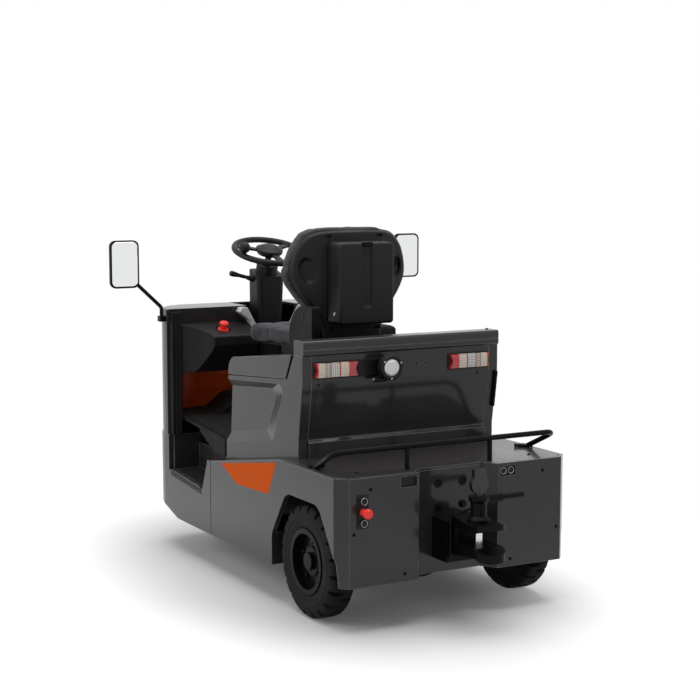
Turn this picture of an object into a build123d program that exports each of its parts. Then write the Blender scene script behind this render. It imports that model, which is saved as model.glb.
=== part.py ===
from build123d import *
import math
import os

# Airport baggage tug: an electric tow tractor with two driven rear wheels and one steered front wheel.
# Millimetres, +X forward, +Y left, +Z up, origin on the floor below the middle of the whole length.
# A length named AHEAD is measured forward from the face of the rear covers.

# Whole body: deck, hood over the battery, entry and nose follow each other from the rear
DECK_LENGTH = 435.0
HOOD_LENGTH = 652.0
ENTRY_LENGTH = 463.0
NOSE_LENGTH = 210.0
BODY_WIDTH = 1000.0
HITCH_REACH = 248.0
FIT = 0.3
RUN = 0.1
SEAM = 2.0
SHEET = 10.0

# Wheels
TYRE_RADIUS = 212.0
TYRE_WIDTH = 105.0
TYRE_INSET = 15.0
TYRE_FACETS = 40
SHOULDER = 13.0
LUG_COUNT = 20
LUG_GROOVE = 22.0
LUG_DEPTH = 9.0
LUG_SHOULDER_DEPTH = 27.0
LUG_OVERLAP = 4.0
BEAD_RADIUS = 112.0
FLANGE_HEIGHT = 11.0
FLANGE_WIDTH = 6.5
RIM_WALL = 8.0
DISC_OUT = 18.0
DISC_WALL = 10.0
HUB_RADIUS = 54.0
HUB_CAP_RADIUS = 33.0
NUT_COUNT = 5
NUT_CIRCLE = 74.0
NUT_RADIUS = 10.0
REAR_AXLE_AHEAD = 288.0
FRONT_AXLE_BACK = 290.0
STUB_RADIUS = 30.0
FRONT_AXLE_RADIUS = 16.0

# Frame under the body
RAIL_INSET = 150.0
RAIL_WIDTH = 50.0
AXLE_PAD = 5.0
TURNTABLE_RISE = 50.0
TRAY_PLATE = 10.0
CROSS_WIDTH = 50.0
AXLE_TUBE_RADIUS = 45.0
DIFFERENTIAL_RADIUS = 115.0
MOTOR_RADIUS = 85.0
MOTOR_LENGTH = 300.0
BATTERY_HEIGHT = 350.0
BATTERY_GAP = 14.0

# Steered fork
FORK_PLATE = 22.0
FORK_LEG = 20.0
FORK_SIDE_GAP = 22.0
FORK_TOP_GAP = 16.0
TURNTABLE_RING = 18.0
TURNTABLE_RADIUS = 120.0
TURNTABLE_PLATE = 25.0
KINGPIN_RADIUS = 30.0

# Lower side panels and wheel arch
PANEL = 20.0
PANEL_BEVEL = 5.0
SKIRT_Z = 147.0
DECK_Z = 567.0
KINK_GAP = 35.0
PANEL_REACH = 24.0
PANEL_FRONT_Z = 456.0
ARCH_GAP = 37.0
ARCH_TOP_GAP = 24.0
ARCH_SHOULDER = 59.0
ARCH_CORNER = 120.0
ARCH_ROUND = 70.0

# Rear covers, deck and coupling recess
CORNER_X = 46.0
CORNER_Y = 42.0
COVER = 14.0
COVER_BOTTOM_Z = 171.0
SLOT_GAP = 8.0
SLOT_WIDTH = 68.0
SLOT_LOW_Z = 518.0
SLOT_HEIGHT = 37.0
RECESS_HALF = 172.0
RECESS_INNER_HALF = 132.0
RECESS_DEPTH = 60.0
COUPLING_PLATE = 30.0
BOLT_COLUMN = 106.0
BOLT_ROW = 170.0
BOLT_LOW_Z = 247.0
BOLT_HOLE_RADIUS = 8.5
CABLE_HOLE_RADIUS = 13.0
CABLE_HOLE_Z = 504.0

# Upper body: battery covers, rear upright, hood
UPPER_INSET = 64.0
UPPER_WALL = 40.0
FRONT_LEAN = 30.0
SPLIT_FRONT_Z = 812.0
SPLIT_REAR_Z = 857.0
SPLIT_REAR_GAP = 92.0
UPRIGHT_WALL = 12.0
KICK = 10.0
KICK_HEIGHT = 58.0
BAND_LEAN = 33.0
BAND_LOW_Z = 858.0
BEND_Z = 640.0
BEAM_LOW_Z = 955.0
BEAM_TOP_Z = 1014.0
BEAM_FRONT_GAP = 36.0
BEAM_LIP = 8.0
BEAM_FOLD_Z = 983.0
BEAM_FOLD = 3.0
BEAM_ROUND = 10.0
POCKET_DEPTH = 20.0
POCKET_LOW_RISE = 38.0
POCKET_REAR_GAP = 215.0
POCKET_BEVEL = 30.0
POCKET_REAR_BEVEL = 90.0
POCKET_ROUND = 34.0
HOOD_GAP = 17.0
HOOD_FRONT_Z = 887.0
HOOD_NOSE = 84.0
HOOD_WALL = 15.0
HOOD_GROOVE = 6.0
HINGE_GAP = 53.0
HINGE_Z = 962.0
HINGE_PIN_RADIUS = 5.0
HINGE_BARREL_RADIUS = 9.0
HINGE_HALF_SPAN = 250.0
KNUCKLE = 60.0

# Entry: floor, steps, footwell
FLOOR_INSET = 60.0
FLOOR_LEG = 38.0
FLOOR_RISE = 49.0
FLOOR_FRONT_BACK = 68.0
FLOOR_WALL = 12.0
SILL_LENGTH = 253.0
SILL_CLEAR = 14.0
SILL_ROUND = 40.0
STEP_REAR_GAP = 100.0
STEP_FRONT_GAP = 20.0
STEP_REAR_Z = 321.0
STEP_FRONT_Z = 348.0
STEP_END_BACK = 160.0
STEP_ROUND = 15.0
TOOTH_PITCH = 19.0
TOOTH_HEIGHT = 7.0
APPROACH_BACK = 310.0
APPROACH_ANGLE = 15.0
WAIST_DROP = 43.0
FOOTWELL_WALL_RISE = 90.0
SWAGE = 4.0
SWAGE_LEAN = 70.0
HUMP_INSET = 215.0
HUMP_SIDE = 105.0
HUMP_RISE = 63.0
HUMP_LENGTH = 190.0
HUMP_ROUND = 45.0

# Front: bumper, cowl, posts, dashboard
BUMPER_WALL = 20.0
BUMPER_PROUD = 12.0
CORNER_MARGIN = 30.0
COWL_WALL = 12.0
COWL_EDGE = 8.0
COWL_TOP_Z = 1045.0
DASH_FLANGE_Z = 960.0
COLUMN_NOTCH_HALF = 120.0
POST_OVERHANG = 30.0
POST_DEPTH = 42.0
POST_WIDTH = 46.0
POST_GROOVE = 4.0
POD_DEPTH = 130.0
POD_INNER = 122.0
POD_END_CUT = 108.0
POD_END_HOLLOW = 18.0
POD_TOP_Z = 980.0
POD_LIP_Z = 930.0
POD_LIP_DROP = 40.0
POD_KNEE_GAP = 23.0
POD_ROUND = 12.0
STOP_RADIUS = 20.0
STOP_Y = 262.0
STOP_RECESS_RADIUS = 31.0
STOP_RECESS = 8.0
HEADLAMP_INSET = 200.0
HEADLAMP_Z = 760.0
HEADLAMP_RADIUS = 62.0

# Steering
COLUMN_WIDTH = 132.0
COLUMN_FOOT_WIDTH = 100.0
COLUMN_DEPTH = 110.0
COLUMN_ROUND = 20.0
COLUMN_DROP = 100.0
COLLAR_RADIUS = 48.0
COLLAR_HEIGHT = 40.0
WHEEL_OVERHANG = 12.0
WHEEL_Z = 1280.0
WHEEL_TILT = 17.0
WHEEL_RADIUS = 155.0
WHEEL_GRIP = 13.0
WHEEL_HUB_RADIUS = 60.0
WHEEL_HUB_DOME = 18.0
KNOB_RADIUS = 25.0
KNOB_STEM = 12.0
KNOB_ANGLE = 18.0
SHAFT_RADIUS = 14.0
STALK_REACH = 112.0
STALK_RADIUS = 5.0
STALK_KNOB_RADIUS = 11.0
STALK_TILT = 75.0
BELLOWS_RADIUS = 16.0
BELLOWS_LENGTH = 42.0
BELLOWS_RIBS = 4
FIN_TOP_Z = 1040.0
FIN_LOW_Z = 945.0
FIN_OUTER = 172.0
FIN_WIDTH = 38.0
FIN_ROUND = 5.0
FIN_DEPTH = 44.0
PEDAL_PAD = 70.0
PEDAL_INSETS = (115.0, 205.0)
PEDAL_WIDTHS = (50.0, 60.0)
PEDAL_TILT = 30.0

# Seat on the hood
SEAT_REAR_BACK = 447.0
SEAT_FRONT_REACH = 73.0
SEAT_BASE_HALF = 236.0
SEAT_BASE_REAR_Z = 957.0
SEAT_BASE_FRONT_Z = 932.0
CUSHION_FRONT_REACH = 175.0
CUSHION_REAR_BACK = 237.0
CUSHION_OVERHANG = 16.0
CUSHION_TOP_Z = 996.0
CUSHION_ROUND = 22.0
BACK_SHELL_BACK = 312.0
BACK_SHELL = 26.0
BACK_PAD = 92.0
BACK_EDGE = 16.0
BACK_TOP_Z = 1417.0
BACK_WING = 49.0
BACK_WING_Z = 1245.0
BACK_HEAD_INSET = 36.0
BACK_HEAD_Z = 1391.0
BACK_WAIST_INSET = 73.0
BACK_WAIST_Z = 1058.0
SCOOP_LENGTH = 120.0
SCOOP_WIDTH = 42.0
SCOOP_DEPTH = 8.0
SCOOP_INSET = 89.0
SCOOP_Z = 1232.0
SCOOP_TILT = 62.0
BOX_HALF = 125.0
BOX_DEPTH = 100.0
BOX_LOW_Z = 1030.0
BOX_TOP_Z = 1360.0
BOX_ROUND = 26.0
BOX_TAPER = 14.0
BOX_GROOVE_WIDTH = 30.0
BOX_GROOVE_LENGTH = 190.0
BOX_GROOVE = 7.0
LATCH_WIDTH = 50.0
LATCH_HEIGHT = 18.0
HIP_DEPTH = 34.0
HIP_TOP_Z = 1116.0
HIP_ROUND = 130.0

# Lamps, rail, mirrors, switches
LAMP_EDGE = 44.0
LAMP_LENGTH = 190.0
LAMP_LOW_Z = 873.0
LAMP_TOP_Z = 930.0
LAMP_PROUD = 18.0
LAMP_PLATE = 4.0
LAMP_NOTCH = 11.0
WORK_LAMP_Y = 90.0
WORK_LAMP_Z = 905.0
WORK_LAMP_RADIUS = 34.0
WORK_LAMP_REACH = 70.0
WORK_LAMP_BEZEL = 5.0
SPARE_HOLE_Y = -82.0
SPARE_HOLE_PITCH = 42.0
SPARE_HOLE_RADIUS = 4.25
RAIL_AHEAD = 70.0
RAIL_Z = 652.0
RAIL_RADIUS = 10.0
RAIL_EDGE = 16.0
RAIL_BEND = 45.0
RAIL_FOOT_AHEAD = 266.0
RAIL_FOOT_EDGE = 36.0
RAIL_FOOT_RADIUS = 20.0
RAIL_FOOT = 7.0
RAIL_POST_Y = 180.0
MIRROR_OVERHANG = 21.0
MIRROR_GAP = 130.0
MIRROR_WIDTH = 128.0
MIRROR_HEIGHT = 202.0
MIRROR_LOW_Z = 1144.0
MIRROR_DEPTH = 28.0
MIRROR_ROUND = 26.0
MIRROR_ARM_RADIUS = 8.0
MIRROR_CLAMP_Z = 1000.0
SWITCH_EDGE = 72.0
SWITCH_WIDTH = 45.0
SWITCH_LOW_Z = 386.0
SWITCH_HEIGHT = 120.0
SWITCH_BUTTON_RADIUS = 13.0
STOP_BUTTON_RADIUS = 18.0
STOP_BUTTON_REACH = 52.0

# Towing jaw
JAW_HALF = 60.0
JAW_LOW_Z = 262.0
JAW_GAP_LOW_Z = 310.0
JAW_GAP_TOP_Z = 366.0
JAW_TOP_Z = 404.0
JAW_ROUND = 50.0
JAW_LIP = 16.0
JAW_BACK = 70.0
JAW_BASE_HALF = 78.0
JAW_BASE_BACK = 40.0
JAW_BASE_LOW_Z = 231.0
JAW_BASE_TOP_Z = 383.0
PIN_BACK = 130.0
PIN_RADIUS = 14.0
TOWER_RADIUS = 30.0
TOWER_TOP_Z = 486.0
TOWER_COLLAR = 12.0
PIN_DISC_Z = 530.0
PIN_DISC_RADIUS = 36.0
PIN_TOP_Z = 586.0
LEVER_REACH = 190.0
LEVER_GRIP = 11.0
HOOK_RADIUS = 5.0

# Positions worked out from the driving dimensions
BODY_LENGTH = DECK_LENGTH + HOOD_LENGTH + ENTRY_LENGTH + NOSE_LENGTH
REAR_X = HITCH_REACH / 2 - BODY_LENGTH / 2
HALF_WIDTH = BODY_WIDTH / 2
FRONT_CORNER = NOSE_LENGTH - CORNER_MARGIN
FRONT_AXLE_AHEAD = BODY_LENGTH - FRONT_AXLE_BACK
UPRIGHT_AHEAD = DECK_LENGTH
UPPER_FRONT_AHEAD = DECK_LENGTH + HOOD_LENGTH
UPPER_FRONT_TOP_AHEAD = UPPER_FRONT_AHEAD - FRONT_LEAN
COWL_REAR_AHEAD = BODY_LENGTH - NOSE_LENGTH
PANEL_KINK_AHEAD = UPRIGHT_AHEAD + KINK_GAP
PANEL_FRONT_AHEAD = UPPER_FRONT_AHEAD + PANEL_REACH
PANEL_INNER = HALF_WIDTH - PANEL
RAIL_OUTER = HALF_WIDTH - RAIL_INSET
UPPER_HALF = HALF_WIDTH - UPPER_INSET
UPPER_INNER = UPPER_HALF - UPPER_WALL
BAND_AHEAD = UPRIGHT_AHEAD - BAND_LEAN
BEAM_FRONT_AHEAD = UPRIGHT_AHEAD + BEAM_FRONT_GAP
SPLIT_REAR_AHEAD = UPRIGHT_AHEAD + SPLIT_REAR_GAP
HINGE_AHEAD = UPRIGHT_AHEAD + HINGE_GAP
ARCH_HALF_LENGTH = TYRE_RADIUS + ARCH_GAP
TRACK_HALF = HALF_WIDTH - TYRE_INSET - TYRE_WIDTH / 2
COUPLING_AHEAD = RECESS_DEPTH
RAIL_REAR_AHEAD = COUPLING_AHEAD + COUPLING_PLATE
CROSS_FRONT_AHEAD = BODY_LENGTH - BUMPER_WALL - CROSS_WIDTH
FORK_PLATE_Z = 2 * TYRE_RADIUS + FORK_TOP_GAP
TURNTABLE_Z = FORK_PLATE_Z + FORK_PLATE + TURNTABLE_RING
RAIL_BOTTOM_Z = TYRE_RADIUS + AXLE_TUBE_RADIUS + AXLE_PAD
RAIL_TOP_Z = TURNTABLE_Z - TURNTABLE_RISE
TRAY_Z = RAIL_TOP_Z + TRAY_PLATE
FLOOR_REAR_Z = TURNTABLE_Z + TURNTABLE_PLATE + FLOOR_LEG
FLOOR_FRONT_Z = FLOOR_REAR_Z + FLOOR_RISE
SILL_LOW_Z = PANEL_FRONT_Z + SILL_CLEAR
WAIST_Z = FLOOR_REAR_Z - WAIST_DROP
HUMP_Z = FLOOR_FRONT_Z + HUMP_RISE
FOOTWELL_TOP_Z = HUMP_Z + FOOTWELL_WALL_RISE
FOOTWELL_HALF = HALF_WIDTH - FRONT_CORNER
POD_LOW_Z = FOOTWELL_TOP_Z + POD_KNEE_GAP
FLOOR_HALF = HALF_WIDTH - FLOOR_INSET
FLOOR_FRONT_AHEAD = BODY_LENGTH - FLOOR_FRONT_BACK
FOOTWELL_WALL_AHEAD = FLOOR_FRONT_AHEAD - FLOOR_WALL
SILL_FRONT_AHEAD = UPPER_FRONT_AHEAD + SILL_LENGTH
STEP_REAR_AHEAD = UPPER_FRONT_AHEAD + STEP_REAR_GAP
STEP_FRONT_AHEAD = COWL_REAR_AHEAD - STEP_FRONT_GAP
STEP_END_AHEAD = BODY_LENGTH - STEP_END_BACK
APPROACH_AHEAD = BODY_LENGTH - APPROACH_BACK
HUMP_REAR_AHEAD = FOOTWELL_WALL_AHEAD - HUMP_LENGTH
HUMP_HALF = HALF_WIDTH - HUMP_INSET
POST_REAR_AHEAD = COWL_REAR_AHEAD - POST_OVERHANG
POD_LIP_AHEAD = COWL_REAR_AHEAD - POD_DEPTH
COLUMN_AHEAD = FOOTWELL_WALL_AHEAD - SHEET - COLUMN_DEPTH / 2
WHEEL_AHEAD = COWL_REAR_AHEAD + WHEEL_OVERHANG
SEAT_REAR_AHEAD = UPPER_FRONT_AHEAD - SEAT_REAR_BACK
SEAT_FRONT_AHEAD = UPPER_FRONT_AHEAD + SEAT_FRONT_REACH
CUSHION_FRONT_AHEAD = UPPER_FRONT_AHEAD + CUSHION_FRONT_REACH
CUSHION_REAR_AHEAD = UPPER_FRONT_AHEAD - CUSHION_REAR_BACK
CUSHION_HALF = SEAT_BASE_HALF + CUSHION_OVERHANG
BACK_SHELL_AHEAD = UPPER_FRONT_AHEAD - BACK_SHELL_BACK
BACK_HALF = SEAT_BASE_HALF + BACK_WING
BACK_HEAD_HALF = SEAT_BASE_HALF - BACK_HEAD_INSET
BACK_WAIST_HALF = SEAT_BASE_HALF - BACK_WAIST_INSET
SCOOP_Y = BACK_HALF - SCOOP_INSET
LAMP_OUTER = UPPER_HALF - LAMP_EDGE
LAMP_INNER = LAMP_OUTER - LAMP_LENGTH
RAIL_HALF = HALF_WIDTH - RAIL_EDGE
RAIL_FOOT_HALF = HALF_WIDTH - RAIL_FOOT_EDGE
MIRROR_AHEAD = COWL_REAR_AHEAD - MIRROR_OVERHANG
MIRROR_INNER = HALF_WIDTH + MIRROR_GAP
SWITCH_OUTER = HALF_WIDTH - SWITCH_EDGE
PIN_AHEAD = -PIN_BACK


def ahead(distance):
    """X of a point measured forward from the rear face."""
    return REAR_X + distance


def line_z(point_a, point_b, distance):
    """Height at a distance ahead, on the straight line through two (ahead, z) points."""
    share = (distance - point_a[0]) / (point_b[0] - point_a[0])
    return point_a[1] + share * (point_b[1] - point_a[1])


def outline(points, radius=0.0):
    """Closed flat outline, with its corners rounded by one radius or a list of radii."""
    return make_face(FilletPolyline(*points, radius=radius, close=True))


def side_plane(y):
    """Upright plane along the vehicle at one Y, drawn in (x, z)."""
    return Plane((0, y, 0), x_dir=(1, 0, 0), z_dir=(0, -1, 0))


def along_y(points, y_low, y_high, radius=0.0):
    """Prism of an (ahead, z) outline between two Y planes."""
    moved = [(ahead(point[0]), point[1]) for point in points]
    return extrude(side_plane(y_high) * outline(moved, radius), y_high - y_low)


def cross_plane(distance):
    """Upright plane across the vehicle at one distance ahead, drawn in (y, z)."""
    return Plane((ahead(distance), 0, 0), x_dir=(0, 1, 0), z_dir=(1, 0, 0))


def along_x(points, ahead_low, ahead_high, radius=0.0):
    """Prism of a (y, z) outline between two distances ahead."""
    return extrude(cross_plane(ahead_low) * outline(points, radius), ahead_high - ahead_low)


def along_z(points, z_low, z_high, radius=0.0):
    """Prism of an (ahead, y) outline between two heights."""
    moved = [(ahead(point[0]), point[1]) for point in points]
    return extrude(Pos(0, 0, z_low) * outline(moved, radius), z_high - z_low)


def block(ahead_low, ahead_high, y_low, y_high, z_low, z_high):
    """Plain block between three pairs of planes."""
    size = (ahead_high - ahead_low, y_high - y_low, z_high - z_low)
    middle = (ahead((ahead_low + ahead_high) / 2), (y_low + y_high) / 2, (z_low + z_high) / 2)
    return Pos(*middle) * Box(*size)


def rod(start, end, radius):
    """Round bar between two points."""
    axis = Vector(*end) - Vector(*start)
    return extrude(Plane(start, z_dir=axis) * Circle(radius), axis.length)


def turned(profile):
    """Solid turned about the Z axis from (radius, height) points that start and end on the axis."""
    return revolve(Plane.XZ * outline(profile), Axis.Z)


def both_sides(solid):
    """A solid on the left joined with its mirror image on the right."""
    return solid + mirror(solid, Plane.XZ)


def floor_z(distance):
    """Height of the sloping footwell floor."""
    return line_z((UPPER_FRONT_AHEAD, FLOOR_REAR_Z), (FLOOR_FRONT_AHEAD, FLOOR_FRONT_Z), distance)


def ledge_z(distance):
    """Height of the side panel's upper edge, level over the deck and then falling forward."""
    if distance < PANEL_KINK_AHEAD:
        return DECK_Z
    return line_z((PANEL_KINK_AHEAD, DECK_Z), (PANEL_FRONT_AHEAD, PANEL_FRONT_Z), distance)


def hood_top_z(distance):
    """Height of the hood's sloping top."""
    return line_z((HINGE_AHEAD, BEAM_LOW_Z), (UPPER_FRONT_TOP_AHEAD, HOOD_FRONT_Z), distance)


def split_z(distance):
    """Height of the joint between the battery covers and the hood."""
    rear = (SPLIT_REAR_AHEAD, SPLIT_REAR_Z)
    return line_z(rear, (UPPER_FRONT_TOP_AHEAD, SPLIT_FRONT_Z), distance)


def seat_base_z(distance):
    """Height of the seat base's upper face."""
    rear = (SEAT_REAR_AHEAD, SEAT_BASE_REAR_Z)
    return line_z(rear, (SEAT_FRONT_AHEAD, SEAT_BASE_FRONT_Z), distance)


def step_z(distance):
    """Height of the step's tread."""
    return line_z((STEP_REAR_AHEAD, STEP_REAR_Z), (STEP_FRONT_AHEAD, STEP_FRONT_Z), distance)


def pod_z(distance):
    """Height of the dashboard pods' sloping top."""
    return line_z((POD_LIP_AHEAD, POD_LIP_Z), (COWL_REAR_AHEAD, POD_TOP_Z), distance)


def approach_z(distance):
    """Height of the lower edge of the front skirts, rising ahead of the approach line."""
    rise = max(0.0, distance - APPROACH_AHEAD) * math.tan(math.radians(APPROACH_ANGLE))
    return SKIRT_Z + rise


def below_approach(y_low, y_high):
    """Space under the rising front edge, to be cut off the front skirts."""
    front = BODY_LENGTH + 2 * BUMPER_WALL
    points = [(APPROACH_AHEAD, 0), (front, 0), (front, approach_z(front)), (APPROACH_AHEAD, SKIRT_Z)]
    return along_y(points, y_low, y_high)


def chassis_frame():
    rails = block(RAIL_REAR_AHEAD, CROSS_FRONT_AHEAD, RAIL_OUTER - RAIL_WIDTH, RAIL_OUTER,
                  RAIL_BOTTOM_Z, RAIL_TOP_Z)
    frame = both_sides(rails)
    middle_cross = UPPER_FRONT_AHEAD - CROSS_WIDTH / 2
    for start, half in ((middle_cross, RAIL_OUTER), (CROSS_FRONT_AHEAD, FOOTWELL_HALF)):
        frame += block(start, start + CROSS_WIDTH, -half, half, RAIL_TOP_Z - 2 * CROSS_WIDTH, RAIL_TOP_Z)
    frame += block(UPRIGHT_AHEAD, middle_cross + CROSS_WIDTH, -UPPER_INNER, UPPER_INNER,
                   RAIL_TOP_Z, TRAY_Z)
    ledge_end = PANEL_FRONT_AHEAD - CROSS_WIDTH
    for start in (REAR_AXLE_AHEAD + ARCH_HALF_LENGTH + CROSS_WIDTH, ledge_end):
        outrigger = block(start, start + CROSS_WIDTH, RAIL_OUTER, PANEL_INNER,
                          RAIL_BOTTOM_Z, RAIL_BOTTOM_Z + CROSS_WIDTH)
        frame += both_sides(outrigger)
    half_span = TURNTABLE_RADIUS + CROSS_WIDTH / 2
    spacer = block(FRONT_AXLE_AHEAD - half_span, FRONT_AXLE_AHEAD + half_span,
                   RAIL_OUTER - RAIL_WIDTH, RAIL_OUTER, RAIL_TOP_Z, TURNTABLE_Z)
    frame += both_sides(spacer)
    frame += block(FRONT_AXLE_AHEAD - half_span, FRONT_AXLE_AHEAD + half_span, -RAIL_OUTER, RAIL_OUTER,
                   TURNTABLE_Z, TURNTABLE_Z + TURNTABLE_PLATE)
    bore = Pos(ahead(FRONT_AXLE_AHEAD), 0, TURNTABLE_Z + TURNTABLE_PLATE / 2)
    return frame - bore * Cylinder(KINGPIN_RADIUS + FIT, 2 * TURNTABLE_PLATE)


def rear_axle():
    centre = (ahead(REAR_AXLE_AHEAD), 0, TYRE_RADIUS)
    hub_face = TRACK_HALF - TYRE_WIDTH / 2
    tube_end = hub_face - CROSS_WIDTH / 2
    across = Pos(*centre) * Rot(90, 0, 0)
    axle = across * Cylinder(AXLE_TUBE_RADIUS, 2 * tube_end)
    axle += across * Cylinder(STUB_RADIUS, 2 * (TRACK_HALF + DISC_OUT))
    axle += Pos(*centre) * Sphere(DIFFERENTIAL_RADIUS)
    motor_start = REAR_AXLE_AHEAD + DIFFERENTIAL_RADIUS / 2
    start = (ahead(motor_start), 0, TYRE_RADIUS)
    end = (ahead(motor_start + MOTOR_LENGTH), 0, TYRE_RADIUS)
    axle += rod(start, end, MOTOR_RADIUS)
    pad = block(REAR_AXLE_AHEAD - CROSS_WIDTH, REAR_AXLE_AHEAD + CROSS_WIDTH,
                RAIL_OUTER - RAIL_WIDTH, RAIL_OUTER, TYRE_RADIUS, RAIL_BOTTOM_Z)
    return axle + both_sides(pad)


def battery():
    return block(UPRIGHT_AHEAD + UPRIGHT_WALL + BATTERY_GAP, UPPER_FRONT_TOP_AHEAD - UPPER_WALL - BATTERY_GAP,
                 BATTERY_GAP - UPPER_INNER, UPPER_INNER - BATTERY_GAP, TRAY_Z, TRAY_Z + BATTERY_HEIGHT)


def wheel_arch():
    """Space of one wheel arch, with slanted shoulders, right through the left side."""
    crown = 2 * TYRE_RADIUS + ARCH_TOP_GAP
    rear = REAR_AXLE_AHEAD - ARCH_HALF_LENGTH
    front = REAR_AXLE_AHEAD + ARCH_HALF_LENGTH
    shoulder = TYRE_RADIUS + ARCH_SHOULDER
    points = [(front, 0), (front, shoulder), (front - ARCH_CORNER, crown),
              (rear + ARCH_CORNER, crown), (rear, shoulder), (rear - CORNER_X / 2, 0)]
    return along_y(points, RAIL_OUTER, BODY_WIDTH, [0, ARCH_ROUND, ARCH_ROUND, ARCH_ROUND, ARCH_ROUND, 0])


def side_panel():
    points = [(CORNER_X, SKIRT_Z), (PANEL_FRONT_AHEAD, SKIRT_Z), (PANEL_FRONT_AHEAD, PANEL_FRONT_Z),
              (PANEL_KINK_AHEAD, DECK_Z), (CORNER_X, DECK_Z)]
    plate = along_y(points, PANEL_INNER, HALF_WIDTH)
    rim = [edge for edge in plate.edges()
           if edge.center().Y > HALF_WIDTH - FIT and edge.center().Z > PANEL_FRONT_Z]
    plate = chamfer(rim, PANEL_BEVEL)
    ledge_end = UPPER_FRONT_AHEAD
    ledge = [(PANEL_KINK_AHEAD, DECK_Z - SHEET), (ledge_end, ledge_z(ledge_end) - SHEET),
             (ledge_end, ledge_z(ledge_end)), (PANEL_KINK_AHEAD, DECK_Z)]
    arch_front = REAR_AXLE_AHEAD + ARCH_HALF_LENGTH
    splash_guard = block(arch_front, arch_front + SHEET, RAIL_OUTER + SEAM, PANEL_INNER + FIT, SKIRT_Z,
                         TYRE_RADIUS + ARCH_SHOULDER)
    return plate + along_y(ledge, UPPER_INNER, PANEL_INNER) + splash_guard - wheel_arch()


def rear_cover():
    outer = [(CORNER_X, HALF_WIDTH), (0, HALF_WIDTH - CORNER_Y), (0, RECESS_HALF),
             (RECESS_DEPTH, RECESS_INNER_HALF)]
    inner = [(RECESS_DEPTH, RECESS_INNER_HALF + COVER), (COVER, RECESS_HALF + COVER / 2),
             (COVER, HALF_WIDTH - CORNER_Y - COVER / 2), (CORNER_X, HALF_WIDTH - COVER)]
    cover = along_z(outer + inner, COVER_BOTTOM_Z, DECK_Z) - wheel_arch()
    slot_start = RECESS_HALF + SLOT_GAP
    slot = [(slot_start, SLOT_LOW_Z), (slot_start + SLOT_WIDTH, SLOT_LOW_Z),
            (slot_start + SLOT_WIDTH, SLOT_LOW_Z + SLOT_HEIGHT), (slot_start, SLOT_LOW_Z + SLOT_HEIGHT)]
    return cover - along_x(slot, -COVER, 2 * COVER, SEAM)


def coupling_plate():
    plate = block(COUPLING_AHEAD, COUPLING_AHEAD + COUPLING_PLATE, -RAIL_OUTER, RAIL_OUTER,
                  COVER_BOTTOM_Z, DECK_Z - SHEET)
    holes = [(BOLT_LOW_Z, BOLT_HOLE_RADIUS), (BOLT_LOW_Z + BOLT_ROW, BOLT_HOLE_RADIUS),
             (CABLE_HOLE_Z, CABLE_HOLE_RADIUS)]
    for column in (-1, 1):
        for height, radius in holes:
            place = (ahead(COUPLING_AHEAD + COUPLING_PLATE / 2), column * BOLT_COLUMN / 2, height)
            plate -= Pos(*place) * Rot(0, 90, 0) * Cylinder(radius, 2 * COUPLING_PLATE)
    return plate


def rear_deck():
    rear = COVER + SEAM
    points = [(CORNER_X, PANEL_INNER), (rear, HALF_WIDTH - CORNER_Y - COVER / 2),
              (rear, RECESS_HALF + COVER / 2), (RECESS_DEPTH, RECESS_INNER_HALF + COVER),
              (RECESS_DEPTH, RECESS_INNER_HALF)]
    mirrored = [(point[0], -point[1]) for point in reversed(points)]
    wall_front = UPRIGHT_AHEAD + UPRIGHT_WALL
    front_edge = [(PANEL_KINK_AHEAD, -PANEL_INNER), (PANEL_KINK_AHEAD, -UPPER_INNER),
                  (wall_front, -UPPER_INNER), (wall_front, UPPER_INNER),
                  (PANEL_KINK_AHEAD, UPPER_INNER), (PANEL_KINK_AHEAD, PANEL_INNER)]
    return along_z(points + mirrored + front_edge, DECK_Z - SHEET, DECK_Z)


def battery_cover():
    points = [(UPRIGHT_AHEAD, DECK_Z), (PANEL_KINK_AHEAD, DECK_Z),
              (UPPER_FRONT_AHEAD, ledge_z(UPPER_FRONT_AHEAD)), (UPPER_FRONT_TOP_AHEAD, SPLIT_FRONT_Z),
              (SPLIT_REAR_AHEAD, SPLIT_REAR_Z), (BEAM_FRONT_AHEAD, BEAM_LOW_Z), (BAND_AHEAD, BEAM_LOW_Z),
              (BAND_AHEAD, BAND_LOW_Z), (UPRIGHT_AHEAD, BEND_Z)]
    cover = along_y(points, UPPER_INNER, UPPER_HALF)
    return cover - pressed_pocket()


def pressed_pocket():
    """Recess pressed into the left battery cover: bevelled lower, rear and upper walls, open at the front."""
    front = UPPER_FRONT_AHEAD + UPPER_WALL
    low_rear = UPRIGHT_AHEAD + POCKET_REAR_GAP
    top_rear = SPLIT_REAR_AHEAD + UPPER_WALL / 2
    mouth = [(front, FLOOR_REAR_Z - SHEET), (low_rear, DECK_Z + POCKET_LOW_RISE),
             (top_rear, SPLIT_REAR_Z - UPPER_WALL / 2), (front, SPLIT_FRONT_Z - UPPER_WALL / 2)]
    floor = [(front, mouth[0][1] + POCKET_BEVEL), (low_rear + POCKET_REAR_BEVEL, mouth[1][1] + POCKET_BEVEL),
             (top_rear + POCKET_REAR_BEVEL, mouth[2][1] - POCKET_BEVEL), (front, mouth[3][1] - POCKET_BEVEL)]
    radii = [0, POCKET_ROUND, POCKET_ROUND, 0]
    faces = []
    for y, corners in ((UPPER_HALF, mouth), (UPPER_HALF - POCKET_DEPTH, floor)):
        faces.append(side_plane(y) * outline([(ahead(point[0]), point[1]) for point in corners], radii))
    return loft(faces, ruled=True)


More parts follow.
